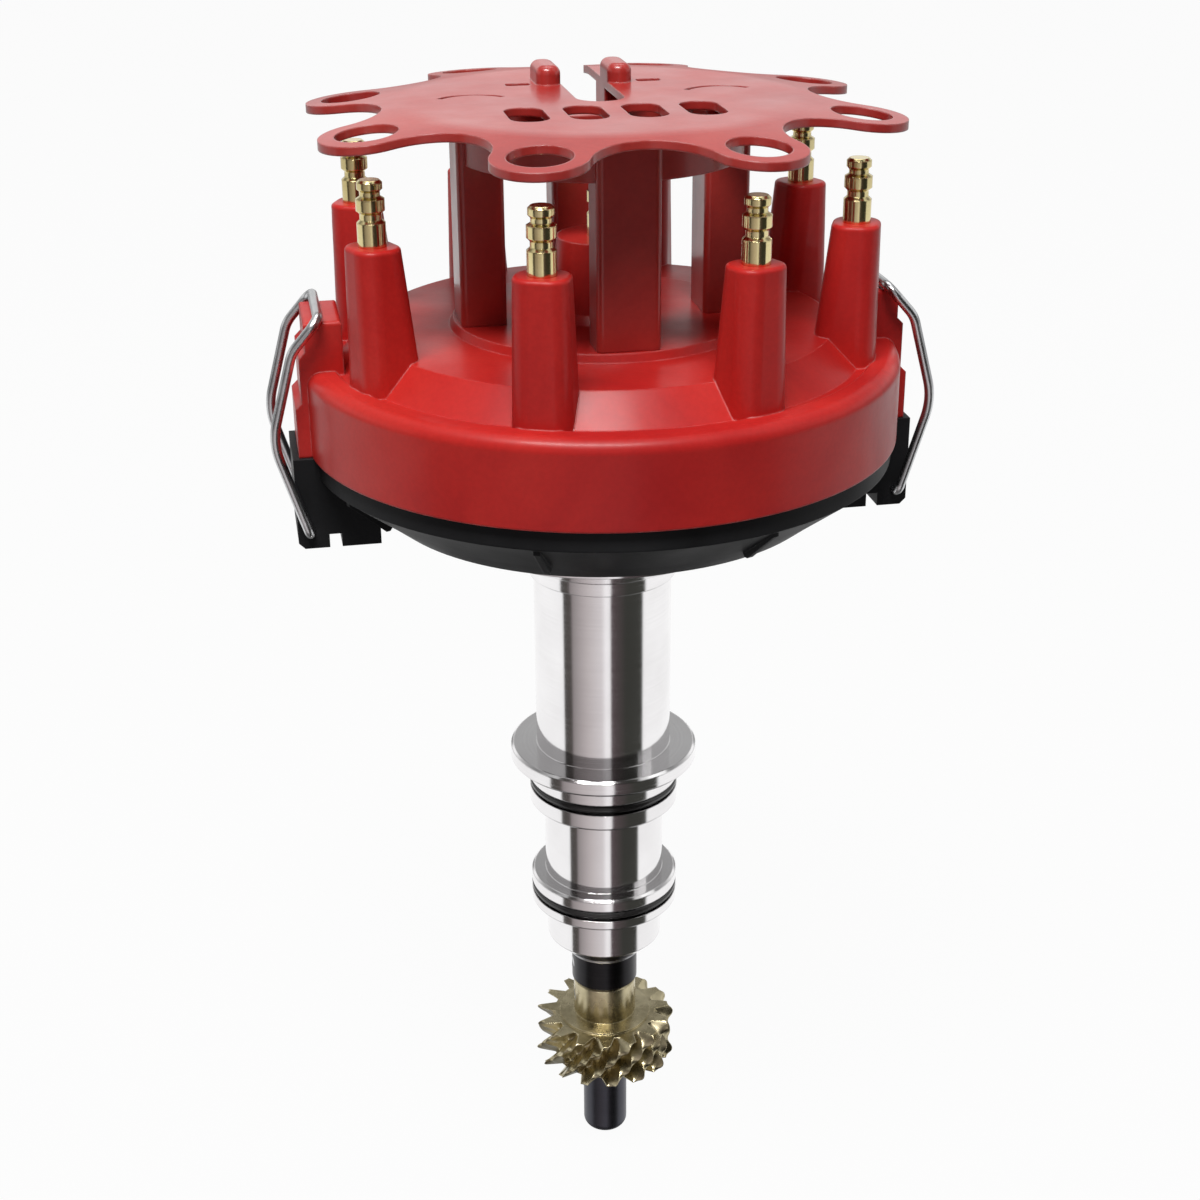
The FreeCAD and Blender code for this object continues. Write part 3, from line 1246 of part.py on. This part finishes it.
def make_bearing():
    """The sealed ball bearing under the bowl's floor and the snap ring that holds it."""
    middle = (bearing_foot + bearing_top) / 2
    ball_circle = (d.bearing_radius + d.bearing_bore) / 2
    groove = d.ball_radius + d.ball_clearance
    for label, inner, outer in (
            ("bearing_outer_race", d.bearing_radius - d.bearing_race, d.bearing_radius),
            ("bearing_inner_race", d.bearing_bore, d.bearing_bore + d.bearing_race)):
        race = ring(label, inner, outer, bearing_foot, bearing_top)
        sketch = new_sketch(race, "groove_circle", "XZ_Plane")
        draw_circle(sketch, ball_circle, middle, groove)
        track = race.newObject("PartDesign::Groove", "track")
        track.Profile = sketch
        track.ReferenceAxis = (sketch, ["V_Axis"])
        track.Angle = 360
    balls = new_body("bearing_balls")
    ball = turned(balls, "ball", [
        (0, middle - d.ball_radius, d.ball_radius),
        (d.ball_radius, middle, d.ball_radius),
        (0, middle + d.ball_radius),
    ], across=ball_circle)
    around(balls, "all_balls", [ball], d.ball_count)
    half_cage = d.cage_thickness / 2
    cage = ring("bearing_cage", ball_circle - half_cage, ball_circle + half_cage,
                middle - d.cage_half, middle + d.cage_half)
    pocket = turned(cage, "pocket", [
        (0, middle - groove, groove),
        (groove, middle, groove),
        (0, middle + groove),
    ], across=ball_circle, cut=True)
    around(cage, "pockets", [pocket], d.ball_count)
    snap_outer = d.bearing_radius + d.snap_ring_depth
    snap_inner = snap_outer - d.snap_ring_width
    half_gap = d.snap_ring_gap / 2
    snap = ring("bearing_snap_ring", snap_inner, snap_outer, bearing_top,
                bearing_top + d.snap_ring_thickness)
    gap = new_sketch(snap, "gap_outline", "XY_Plane", height=bearing_top + d.snap_ring_thickness)
    draw_outline(gap, box_outline(snap_inner - 1, snap_outer + 1, -half_gap, half_gap))
    cut_down(snap, "gap", gap, d.snap_ring_thickness)
    ring("shaft_spacer", d.bearing_bore, d.bearing_bore + d.bearing_race, bearing_top,
         sleeve_low - d.end_play)
    ring("lower_bushing", bushing_bore, d.bushing_radius, nose_end, nose_end + d.bushing_length)


def make_shaft():
    """The steel shaft, from the advance cam down to the hexagon socket in its tip."""
    body = new_body("main_shaft")
    seat_low = bearing_foot - d.end_play
    round_tip = d.shaft_tip_round
    spindle_low = sleeve_low - d.end_play
    turned(body, "rod", [
        (0, shaft_tip),
        (d.pilot_radius - round_tip, shaft_tip, round_tip),
        (d.pilot_radius, shaft_tip + round_tip),
        (d.pilot_radius, pilot_top),
        (d.shaft_radius, pilot_top),
        (d.shaft_radius, seat_low),
        (d.bearing_bore, seat_low),
        (d.bearing_bore, spindle_low),
        (d.spindle_radius, spindle_low),
        (d.spindle_radius, weight_low),
        (d.cam_bore, weight_low),
        (d.cam_bore, weight_top + d.end_play),
        (0, weight_top + d.end_play),
    ])
    flats = d.socket_flats / 2
    corner = flats / cosine(30)
    socket = new_sketch(body, "socket_outline", "XY_Plane", height=shaft_tip + d.socket_depth)
    draw_outline(socket, [(corner * cosine(60 * index), corner * sine(60 * index))
                          for index in range(6)])
    cut_down(body, "socket", socket, d.socket_depth)
    for name, height in (("collar_pin_hole", washer_low - d.collar_length / 2),
                         ("gear_pin_hole", hub_top - d.gear_hub_length / 2)):
        cross_hole(body, name, height, d.shaft_radius * 4)


def make_drive_end():
    """The thrust washer, the collar, the drive gear and their pins."""
    ring("thrust_washer", d.shaft_radius, d.washer_radius, washer_low,
         washer_low + d.washer_thickness)
    collar = ring("drive_collar", d.shaft_radius, d.collar_radius, collar_low, washer_low)
    pin_height = washer_low - d.collar_length / 2
    cross_hole(collar, "pin_hole", pin_height, d.collar_radius * 3)
    cross_pin("collar_pin", d.collar_radius * 2 - 0.3, pin_height)
    gear = new_body("drive_gear")
    sections = []
    section_count = int(d.gear_sections.number)
    for index in range(section_count):
        share = index / (section_count - 1)
        section = new_sketch(gear, f"gear_section_{index}", "XY_Plane",
                             height=gear_low + d.gear_width * share, turn=d.gear_helix * share)
        draw_outline(section, gear_outline())
        sections.append(section)
    teeth = gear.newObject("PartDesign::AdditiveLoft", "teeth")
    teeth.Profile = sections[0]
    teeth.Sections = sections[1:]
    turned(gear, "hub", [
        (0, hub_low - 1),
        (d.gear_root_radius - 1.4, hub_low - 1),
        (d.gear_root_radius - 1.4, hub_low + 0.5),
        (d.gear_hub_radius, hub_low + 0.9),
        (d.gear_hub_radius, hub_top - 0.6),
        (d.gear_hub_radius - 0.6, hub_top),
        (0, hub_top),
    ])
    drilled(gear, "bore", 0, 0, d.shaft_radius, hub_top, d.gear_hub_length + d.gear_width)
    pin_height = hub_top - d.gear_hub_length / 2
    cross_hole(gear, "pin_hole", pin_height, d.gear_hub_radius * 3)
    cross_pin("gear_pin", d.gear_hub_radius * 2 - 0.3, pin_height)


def gear_outline():
    """The gear's section: straight-sided teeth that narrow towards their tips."""
    step = 360 / d.gear_teeth
    points = []
    for index in range(int(d.gear_teeth.number)):
        middle = step * index
        for radius, share in ((d.gear_root_radius, -0.37), (d.gear_tip_radius, -0.13),
                              (d.gear_tip_radius, 0.13), (d.gear_root_radius, 0.37)):
            angle = middle + step * share
            points.append((radius * cosine(angle), radius * sine(angle)))
    return points


def make_seals():
    """The two rubber rings in the lands' grooves."""
    for label, drop in (("upper_seal_ring", d.upper_seal_drop), ("lower_seal_ring", d.lower_seal_drop)):
        body = new_body(label)
        sketch = new_sketch(body, "section", "XZ_Plane")
        draw_circle(sketch, seal_middle_radius, -drop, d.seal_radius)
        seal = body.newObject("PartDesign::Revolution", "seal")
        seal.Profile = sketch
        seal.ReferenceAxis = (sketch, ["V_Axis"])
        seal.Angle = 360


def make_screws():
    """The screws through the base and the ones through the cap's roof."""
    base = new_body("base_screws", turn=45)
    screw = turned(base, "screw", screw_profile(
        d.base_screw_radius, d.base_screw_head, d.base_screw_head_height,
        bowl_rim - d.base_screw_depth, base_floor), across=base_screw_circle)
    around(base, "screws", [screw], d.base_screw_count)
    legs = new_body("retainer_screws")
    screw = turned(legs, "screw", screw_profile(
        d.leg_screw_radius, d.leg_screw_head, d.leg_screw_head_height,
        crown + d.leg_screw_depth, leg_screw_seat, down=True), across=leg_middle)
    around(legs, "screws", [screw], 4)


def bent_wire(points, radii, wire_radius):
    """A round wire along straight runs joined by tangent arcs."""
    edges = []
    start = points[0]
    for index in range(1, len(points) - 1):
        corner, radius = points[index], radii[index - 1]
        back = (points[index - 1] - corner).normalize()
        ahead = (points[index + 1] - corner).normalize()
        half_turn = (math.pi - back.getAngle(ahead)) / 2
        reach = radius * math.tan(half_turn)
        arc_start, arc_end = corner + back * reach, corner + ahead * reach
        bisector = (back + ahead).normalize()
        middle = corner + bisector * (radius / math.cos(half_turn) - radius)
        edges.append(Part.LineSegment(start, arc_start).toShape())
        edges.append(Part.Arc(arc_start, middle, arc_end).toShape())
        start = arc_end
    edges.append(Part.LineSegment(start, points[-1]).toShape())
    direction = points[1] - points[0]
    section = Part.Wire([Part.Circle(points[0], direction, wire_radius).toShape()])
    return Part.Wire(edges).makePipeShell([section], True, False)


def make_latches():
    """The two sprung wire latches, each bent from one piece with its tips in the ear's hole."""
    half = d.ear_width.number / 2 + d.latch_side_gap.number
    tip = d.ear_width.number / 2 - d.latch_tip.number
    bulge = d.cap_rim + d.latch_bulge_height
    neck = d.cap_rim + d.latch_neck_height
    leg = [
        (pivot_radius, pivot_height, tip),
        (pivot_radius, pivot_height, half),
        (pivot_radius + d.latch_bulge_reach, bulge, half),
        (pivot_radius + d.latch_neck_reach, neck, half),
        (boss_outer - d.latch_top_inset, crossbar_height, half),
    ]
    right = [Vector(x.number, side, z.number) for x, z, side in leg]
    left = [Vector(point.x, -point.y, point.z) for point in reversed(right)]
    bend, bow = d.latch_bend.number, d.latch_bow.number
    radii = [d.latch_foot_bend.number, bow, bow / 2, bend]
    wire = bent_wire(right + left, radii + radii[::-1], d.wire_radius.number)
    for label, turn in (("latch_right", 0), ("latch_left", 180)):
        latch = doc.addObject("Part::Feature", label)
        latch.Label = label
        latch.Shape = wire
        latch.Placement = Placement(Vector(0, 0, 0), Rotation(Vector(0, 0, 1), turn))
        parts.append(latch)


def check_and_write():
    """Stops if a feature failed or a cut removed nothing, then writes one file per piece."""
    doc.recompute()
    for thing in doc.Objects:
        if "Invalid" in thing.State or "Error" in thing.State:
            raise RuntimeError(f"{thing.Label} of {thing.getParentGeoFeatureGroup()} failed")
    for thing in doc.Objects:
        if thing.TypeId in ("PartDesign::Pocket", "PartDesign::Groove"):
            before = thing.BaseFeature.Shape.Volume
            if thing.Shape.Volume > before - 1e-3:
                raise RuntimeError(f"{thing.Label} cuts nothing")
    os.makedirs("parts", exist_ok=True)
    for part in parts:
        shape = part.Shape
        if shape.isNull() or not shape.isValid() or not shape.Solids:
            raise RuntimeError(f"{part.Label} has no valid solid")
        shape.exportStep(f"parts/{part.Label}.step")
        print(part.Label, len(shape.Solids), round(shape.Volume, 1))


make_housing()
make_base()
make_cap()
make_retainer()
make_terminals()
make_brush()
make_rotor()
make_advance()
make_reluctor()
make_pickup()
make_bearing()
make_shaft()
make_drive_end()
make_seals()
make_screws()
make_latches()
check_and_write()
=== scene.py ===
"""The looks of an ignition distributor: materials, studio light and camera."""
import json
import math

import bpy
from mathutils import Matrix, Vector


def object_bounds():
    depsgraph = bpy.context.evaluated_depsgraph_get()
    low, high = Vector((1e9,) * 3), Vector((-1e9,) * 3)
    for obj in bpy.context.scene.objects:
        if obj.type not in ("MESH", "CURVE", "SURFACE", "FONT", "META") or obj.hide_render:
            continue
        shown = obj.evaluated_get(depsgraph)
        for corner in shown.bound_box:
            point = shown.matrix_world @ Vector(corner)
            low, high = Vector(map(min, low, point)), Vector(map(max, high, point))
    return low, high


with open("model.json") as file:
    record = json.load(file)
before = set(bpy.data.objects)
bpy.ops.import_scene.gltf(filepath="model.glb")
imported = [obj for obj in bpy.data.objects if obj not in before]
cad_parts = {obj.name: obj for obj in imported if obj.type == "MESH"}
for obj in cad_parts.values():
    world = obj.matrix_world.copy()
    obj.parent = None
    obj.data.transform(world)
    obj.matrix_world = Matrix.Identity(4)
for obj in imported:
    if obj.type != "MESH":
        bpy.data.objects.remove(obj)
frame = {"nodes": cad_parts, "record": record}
cad_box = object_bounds()
nodes = frame["nodes"]
scene = bpy.context.scene


# Materials. Lengths are in metres, and a noise's scale is in waves to the metre.
PLASTIC_IOR = 1.5
RUBBER_IOR = 1.46
COAT_ROUGHNESS = 0.12
EDGE_SAMPLES = 6
FLOW_MARKS = 24.0
LATHE_RINGS = 2600.0
METAL_CLOUD = 120.0
METAL_GRAIN = METAL_CLOUD * 12

# The sockets of a colour mix, which share their names with the sockets of its other types.
MIX_FACTOR, MIX_FIRST, MIX_SECOND, MIX_RESULT = 0, 6, 7, 2


def new_material(name, **values):
    """A material with one Principled shader and its plain values set on the sockets."""
    material = bpy.data.materials.new(name)
    material.use_nodes = True
    shader = material.node_tree.nodes["Principled BSDF"]
    for key, value in values.items():
        shader.inputs[key.replace("_", " ")].default_value = value
    return material


def shade(tone, share, lift=0.0):
    """A colour made brighter or darker by a share, and paler by a lift."""
    return tuple(part * share + lift for part in tone)


class Graph:
    """Short calls to build one tree of nodes."""

    def __init__(self, tree):
        self.tree = tree
        self.shader = tree.nodes.get("Principled BSDF")

    def add(self, kind, **values):
        node = self.tree.nodes.new(kind)
        for key, value in values.items():
            if key in node.inputs:
                node.inputs[key].default_value = value
            else:
                setattr(node, key, value)
        return node

    def link(self, source, target):
        self.tree.links.new(source, target)

    def math(self, operation, first, second):
        node = self.add("ShaderNodeMath", operation=operation)
        for socket, value in zip(node.inputs, (first, second)):
            if isinstance(value, bpy.types.NodeSocket):
                self.link(value, socket)
            else:
                socket.default_value = value
        return node.outputs[0]

    def place(self):
        """Object coordinates."""
        return self.add("ShaderNodeTexCoord").outputs["Object"]

    def around_axis(self, lines):
        """Distance from the axis and height, stretched into a number of lines to the metre."""
        split = self.add("ShaderNodeSeparateXYZ")
        self.link(self.place(), split.inputs[0])
        flat = self.add("ShaderNodeCombineXYZ")
        self.link(split.outputs["X"], flat.inputs["X"])
        self.link(split.outputs["Y"], flat.inputs["Y"])
        radius = self.add("ShaderNodeVectorMath", operation="LENGTH")
        self.link(flat.outputs[0], radius.inputs[0])
        joined = self.add("ShaderNodeCombineXYZ")
        self.link(radius.outputs["Value"], joined.inputs["X"])
        self.link(split.outputs["Z"], joined.inputs["Z"])
        mapping = self.add("ShaderNodeMapping", Scale=(lines * 0.6, 1, lines))
        self.link(joined.outputs[0], mapping.inputs["Vector"])
        return mapping.outputs["Vector"]

    def noise(self, place, scale, detail=3.0, rough=0.5, distortion=0.0):
        noise = self.add("ShaderNodeTexNoise", Scale=scale, Detail=detail, Roughness=rough,
                         Distortion=distortion)
        self.link(place, noise.inputs["Vector"])
        return noise.outputs["Fac"]

    def ramp(self, factor, stops):
        """Colours or greys along a factor."""
        ramp = self.add("ShaderNodeValToRGB")
        elements = ramp.color_ramp.elements
        while len(elements) < len(stops):
            elements.new(0.5)
        for element, (place, colour) in zip(elements, stops):
            element.position = place
            element.color = (*colour, 1) if isinstance(colour, tuple) else (colour,) * 3 + (1,)
        self.link(factor, ramp.inputs["Fac"])
        return ramp.outputs["Color"]

    def mixed(self, factor, first, second, blend="MIX"):
        mix = self.add("ShaderNodeMix", data_type="RGBA", blend_type=blend)
        values = ((factor, MIX_FACTOR), (first, MIX_FIRST), (second, MIX_SECOND))
        for value, socket in values:
            if isinstance(value, bpy.types.NodeSocket):
                self.link(value, mix.inputs[socket])
            elif isinstance(value, tuple):
                mix.inputs[socket].default_value = (*value, 1)
            else:
                mix.inputs[socket].default_value = value
        return mix.outputs[MIX_RESULT]

    def rounded(self, radius):
        """The surface's normal with its edges rounded, and how near an edge is."""
        bevel = self.add("ShaderNodeBevel", samples=EDGE_SAMPLES, Radius=radius)
        geometry = self.add("ShaderNodeNewGeometry")
        dot = self.add("ShaderNodeVectorMath", operation="DOT_PRODUCT")
        self.link(bevel.outputs["Normal"], dot.inputs[0])
        self.link(geometry.outputs["Normal"], dot.inputs[1])
        return bevel.outputs["Normal"], self.math("SUBTRACT", 1.0, dot.outputs["Value"])

    def bump(self, normal, *layers):
        """Bumps on a normal, each with its height, its strength and its depth."""
        for height, strength, depth in layers:
            bump = self.add("ShaderNodeBump", Strength=strength, Distance=depth)
            self.link(height, bump.inputs["Height"])
            self.link(normal, bump.inputs["Normal"])
            normal = bump.outputs["Normal"]
        self.link(normal, self.shader.inputs["Normal"])

    def colour(self, source):
        self.link(source, self.shader.inputs["Base Color"])

    def roughness(self, source):
        self.link(source, self.shader.inputs["Roughness"])

    def seen(self, path):
        """Whether a ray comes from the camera, straight or through glass."""
        return self.math("MAXIMUM", path.outputs["Is Camera Ray"],
                         path.outputs["Is Transmission Ray"])

    def either_shader(self, factor, first, second):
        mix = self.add("ShaderNodeMixShader")
        for socket, source in zip(mix.inputs, (factor, first, second)):
            self.link(source, socket)
        return mix.outputs[0]

    def output(self, kind, source):
        self.link(source, self.add(kind).inputs["Surface"])


def empty_graph(owner):
    """The node tree of a world or a material, cleared."""
    owner.use_nodes = True
    owner.node_tree.nodes.clear()
    return Graph(owner.node_tree)


def moulded_red(name, deep, plain, pale, smooth, rough, specular, coat):
    """Gloss moulded plastic: flow marks in the colour, a fine skin, and paler edges that are
    partly wear and partly a painted highlight.
    """
    material = new_material(name, Roughness=smooth, IOR=PLASTIC_IOR, Specular_IOR_Level=specular,
                            Coat_Weight=coat, Coat_Roughness=COAT_ROUGHNESS)
    graph = Graph(material.node_tree)
    place = graph.place()
    flow = graph.noise(place, FLOW_MARKS, detail=4.0, rough=0.55, distortion=0.6)
    tone = graph.ramp(flow, [(0.3, deep), (0.52, plain), (0.78, pale)])
    specks = graph.ramp(graph.noise(place, 900.0, detail=2.0), [(0.35, 0.93), (0.65, 1.0)])
    tone = graph.mixed(1.0, tone, specks, "MULTIPLY")
    normal, edge = graph.rounded(0.0007)
    scuffs = graph.ramp(graph.noise(place, 260.0), [(0.4, 0.15), (0.7, 0.75)])
    # Paler edges: partly wear in scuffed patches, partly a painted highlight along every edge.
    worn_and_painted_highlight = graph.math("MULTIPLY", graph.ramp(edge, [(0.04, 0.0), (0.3, 1.0)]), scuffs)
    graph.colour(graph.mixed(worn_and_painted_highlight, tone, shade(pale, 0.6, lift=0.4)))
    graph.roughness(graph.ramp(graph.noise(place, 60.0), [(0.3, smooth), (0.7, rough)]))
    skin = graph.noise(place, 700.0, detail=2.0)
    sink = graph.noise(place, 90.0, detail=2.0)
    graph.bump(normal, (skin, 0.12, 0.0001), (sink, 0.1, 0.0004))
    return material


def moulded_black(name, tone, rough, specular=0.5, edges=0.0006):
    """Satin black moulding with a fine grain, and paler edges that are partly wear and partly a
    painted highlight.
    """
    material = new_material(name, Roughness=rough, IOR=RUBBER_IOR, Specular_IOR_Level=specular)
    graph = Graph(material.node_tree)
    place = graph.place()
    cloud = graph.noise(place, 45.0, detail=4.0)
    plain = graph.ramp(cloud, [(0.3, shade(tone, 0.75)), (0.7, shade(tone, 1.45))])
    normal, edge = graph.rounded(edges)
    # Paler edges: partly wear, partly a painted highlight along every edge.
    worn_and_painted_highlight = graph.ramp(edge, [(0.05, 0.0), (0.35, 0.35)])
    graph.colour(graph.mixed(worn_and_painted_highlight, plain, shade(tone, 3, lift=0.02)))
    graph.roughness(graph.ramp(cloud, [(0.3, rough - 0.06), (0.7, rough + 0.1)]))
    graph.bump(normal, (graph.noise(place, 1500.0, detail=2.0), 0.3, 0.00008))
    return material


def turned_metal(name, dull, bright, rough, groove, lines=LATHE_RINGS):
    """Metal from a lathe: fine rings round the axis, in the roughness, colour and bump."""
    material = new_material(name, Metallic=1.0, Roughness=rough)
    graph = Graph(material.node_tree)
    rings = graph.noise(graph.around_axis(lines), 1.0, detail=2.0, rough=0.6)
    cloud = graph.noise(graph.place(), 55.0, detail=4.0)
    stops = [(0.3, dull), (0.7, bright)]
    graph.colour(graph.mixed(0.3, graph.ramp(cloud, stops), graph.ramp(rings, stops)))
    graph.roughness(graph.ramp(rings, [(0.25, max(rough - 0.04, 0.02)), (0.75, rough + 0.05)]))
    normal, _ = graph.rounded(0.0004)
    graph.bump(normal, (rings, groove, 0.00002))
    return material


def plain_metal(name, dull, bright, rough):
    """Drawn, cast or stamped metal with a faint grain."""
    material = new_material(name, Metallic=1.0, Roughness=rough)
    graph = Graph(material.node_tree)
    place = graph.place()
    cloud = graph.noise(place, METAL_CLOUD, detail=4.0, rough=0.6)
    graph.colour(graph.ramp(cloud, [(0.3, dull), (0.7, bright)]))
    graph.roughness(graph.ramp(cloud, [(0.3, rough), (0.75, rough + 0.12)]))
    normal, _ = graph.rounded(0.0003)
    graph.bump(normal, (graph.noise(place, METAL_GRAIN, detail=2.0), 0.12, 0.00005))
    return material


MAKERS = {
    "cap_red": (moulded_red, dict(
        deep=(0.41, 0.013, 0.013), plain=(0.50, 0.019, 0.016), pale=(0.56, 0.032, 0.024),
        smooth=0.32, rough=0.44, specular=0.24, coat=0.05)),
    "retainer_red": (moulded_red, dict(
        deep=(0.34, 0.02, 0.018), plain=(0.41, 0.032, 0.026), pale=(0.47, 0.055, 0.042),
        smooth=0.28, rough=0.40, specular=0.42, coat=0.34)),
    "base_black": (moulded_black, dict(
        tone=(0.016, 0.016, 0.017), rough=0.46, specular=0.08)),
    "housing_alloy": (turned_metal, dict(
        dull=(0.80, 0.785, 0.79), bright=(0.92, 0.91, 0.915), rough=0.11, groove=0.10)),
    "terminal_brass": (turned_metal, dict(
        dull=(0.62, 0.50, 0.22), bright=(0.88, 0.77, 0.44), rough=0.15, groove=0.15,
        lines=5200.0)),
    "gear_bronze": (plain_metal, dict(
        dull=(0.33, 0.28, 0.16), bright=(0.70, 0.62, 0.41), rough=0.22)),
    "bushing_bronze": (turned_metal, dict(
        dull=(0.34, 0.22, 0.1), bright=(0.5, 0.36, 0.2), rough=0.35, groove=0.2)),
    "shaft_steel": (turned_metal, dict(
        dull=(0.07, 0.07, 0.084), bright=(0.105, 0.105, 0.125), rough=0.36, groove=0.08)),
    "bright_steel": (plain_metal, dict(
        dull=(0.4, 0.4, 0.42), bright=(0.62, 0.62, 0.63), rough=0.25)),
    "collar_black": (turned_metal, dict(
        dull=(0.02, 0.019, 0.021), bright=(0.045, 0.044, 0.047), rough=0.32, groove=0.12)),
    "latch_wire": (plain_metal, dict(
        dull=(0.5, 0.51, 0.52), bright=(0.72, 0.72, 0.73), rough=0.22)),
    "seal_rubber": (moulded_black, dict(
        tone=(0.02, 0.019, 0.019), rough=0.22, specular=0.8, edges=0.0002)),
    "brush_carbon": (moulded_black, dict(tone=(0.03, 0.03, 0.032), rough=0.55)),
    "winding": (moulded_black, dict(tone=(0.035, 0.028, 0.022), rough=0.5)),
    "magnet": (moulded_black, dict(tone=(0.12, 0.12, 0.125), rough=0.5)),
}

materials = {name: make(name, **values) for name, (make, values) in MAKERS.items()}
node_slots = {entry["node"]: entry["material_slot"] for entry in frame["record"]["subparts"]}
for node_name, node in nodes.items():
    node.data.materials.clear()
    node.data.materials.append(materials[node_slots[node_name]])


# Studio
# What polished surfaces mirror, once round from -X through -Y, +X and +Y.
STRIPS = [
    (0.0, 1.0),
    (0.026, 1.0),
    (0.030, (0.075, 0.07, 0.065)),
    (0.068, (0.085, 0.075, 0.07)),
    (0.078, (0.30, 0.27, 0.27)),
    (0.150, (0.55, 0.50, 0.50)),
    (0.215, (0.72, 0.68, 0.69)),
    (0.235, (0.98, 0.96, 0.97)),
    (0.254, (0.95, 0.93, 0.94)),
    (0.260, (0.10, 0.075, 0.08)),
    (0.330, (0.045, 0.045, 0.04)),
    (0.412, (0.05, 0.05, 0.045)),
    (0.422, 1.0),
]

# How bright that is by height, from straight down to straight up.
LEVELS = [
    (0.0, 0.22),
    (0.1, 0.32),
    (0.2, 1.0),
    (0.38, 1.0),
    (0.44, 0.32),
    (0.51, 0.32),
    (0.56, 1.0),
    (0.62, 1.0),
    (0.70, 0.5),
    (0.80, 0.22),
    (0.92, 0.8),
]

# How much light the world itself gives to matt surfaces.
WORLD_LIGHT = 0.1

FLOOR_GAP = 0.0006
FLOOR_HALF = 4.0
FLOOR_GREY = 0.4
# How much of the floor is plain white to the camera: the rest keeps the shadow.
FLOOR_WHITE = 0.96

# Each lamp's name, place, aim, size in metres and power in watts.
LAMPS = [
    ("key", (-0.26, -0.57, 1.45), (0, 0, 0.08), (0.8, 0.4), 27.0),
    ("fill", (0.9, -0.4, 0.9), (0, 0, 0.06), (0.6, 0.6), 0.8),
    ("back", (0.1, 0.5, 1.35), (0, 0, 0.1), (0.8, 0.4), 3.2),
]

LENS_MM = 59.01
SENSOR_MM = 36.0
CAMERA_NEAR = 0.01
CAMERA_PLACE = (-0.08761, -0.45895, 0.25241)
CAMERA_TURN = math.radians(10.73)
CAMERA_TILT = math.radians(23.945)
CAMERA_ROLL = math.radians(-0.345)


def make_world():
    """White for the camera, strips of grey and dark for mirrors, a low light for the rest."""
    world = bpy.data.worlds.new("studio")
    scene.world = world
    graph = empty_graph(world)
    place = graph.add("ShaderNodeTexCoord")
    split = graph.add("ShaderNodeSeparateXYZ")
    graph.link(place.outputs["Generated"], split.inputs[0])
    turn = graph.math("ARCTAN2", split.outputs["Y"], split.outputs["X"])
    share = graph.math("MULTIPLY", graph.math("ADD", turn, math.pi), 0.5 / math.pi)
    height = graph.math("ADD", graph.math("MULTIPLY", split.outputs["Z"], 0.5), 0.5)
    strips = graph.mixed(1.0, graph.ramp(share, STRIPS), graph.ramp(height, LEVELS), "MULTIPLY")
    path = graph.add("ShaderNodeLightPath")
    white = graph.add("ShaderNodeBackground", Strength=1.0, Color=(1, 1, 1, 1))
    mirrored = graph.add("ShaderNodeBackground", Strength=1.0)
    graph.link(strips, mirrored.inputs["Color"])
    lit = graph.add("ShaderNodeBackground", Strength=WORLD_LIGHT, Color=(1, 1, 1, 1))
    unseen = graph.either_shader(path.outputs["Is Glossy Ray"], lit.outputs[0],
                                 mirrored.outputs[0])
    graph.output("ShaderNodeOutputWorld",
                 graph.either_shader(graph.seen(path), unseen, white.outputs[0]))


def make_floor():
    """A pale floor that shows white and keeps the shadow."""
    low = cad_box[0][2] - FLOOR_GAP
    corners = [(-FLOOR_HALF, -FLOOR_HALF, low), (FLOOR_HALF, -FLOOR_HALF, low),
               (FLOOR_HALF, FLOOR_HALF, low), (-FLOOR_HALF, FLOOR_HALF, low)]
    mesh = bpy.data.meshes.new("floor")
    mesh.from_pydata(corners, [], [(0, 1, 2, 3)])
    floor = bpy.data.objects.new("floor", mesh)
    floor.visible_glossy = False
    scene.collection.objects.link(floor)
    material = bpy.data.materials.new("floor")
    graph = empty_graph(material)
    path = graph.add("ShaderNodeLightPath")
    grey = graph.add("ShaderNodeBsdfDiffuse", Color=(FLOOR_GREY, FLOOR_GREY, FLOOR_GREY, 1))
    white = graph.add("ShaderNodeEmission", Strength=1.0)
    share = graph.math("MULTIPLY", graph.seen(path), FLOOR_WHITE)
    graph.output("ShaderNodeOutputMaterial",
                 graph.either_shader(share, grey.outputs[0], white.outputs[0]))
    mesh.materials.append(material)


def add_lamp(name, place, target, size, power):
    light = bpy.data.lights.new(name, "AREA")
    light.shape = "RECTANGLE"
    light.size, light.size_y = size
    light.energy = power
    lamp = bpy.data.objects.new(name, light)
    lamp.location = place
    aim = Vector(target) - Vector(place)
    lamp.rotation_euler = aim.to_track_quat("-Z", "Y").to_euler()
    scene.collection.objects.link(lamp)


def make_camera():
    """The photograph's view: from the front, a little left and above."""
    camera = bpy.data.cameras.new("camera")
    camera.lens = LENS_MM
    camera.sensor_width = SENSOR_MM
    camera.clip_start = CAMERA_NEAR
    level = Vector((math.cos(CAMERA_TURN), -math.sin(CAMERA_TURN), 0))
    ahead = Vector((math.sin(CAMERA_TURN) * math.cos(CAMERA_TILT),
                    math.cos(CAMERA_TURN) * math.cos(CAMERA_TILT), -math.sin(CAMERA_TILT)))
    upright = level.cross(ahead)
    right = level * math.cos(CAMERA_ROLL) + upright * math.sin(CAMERA_ROLL)
    up = upright * math.cos(CAMERA_ROLL) - level * math.sin(CAMERA_ROLL)
    turned = Matrix((right, up, -ahead)).transposed().to_4x4()
    item = bpy.data.objects.new("camera", camera)
    item.matrix_world = Matrix.Translation(CAMERA_PLACE) @ turned
    scene.collection.objects.link(item)
    scene.camera = item


make_world()
make_floor()
for lamp_values in LAMPS:
    add_lamp(*lamp_values)
make_camera()
scene.view_settings.view_transform = "Standard"
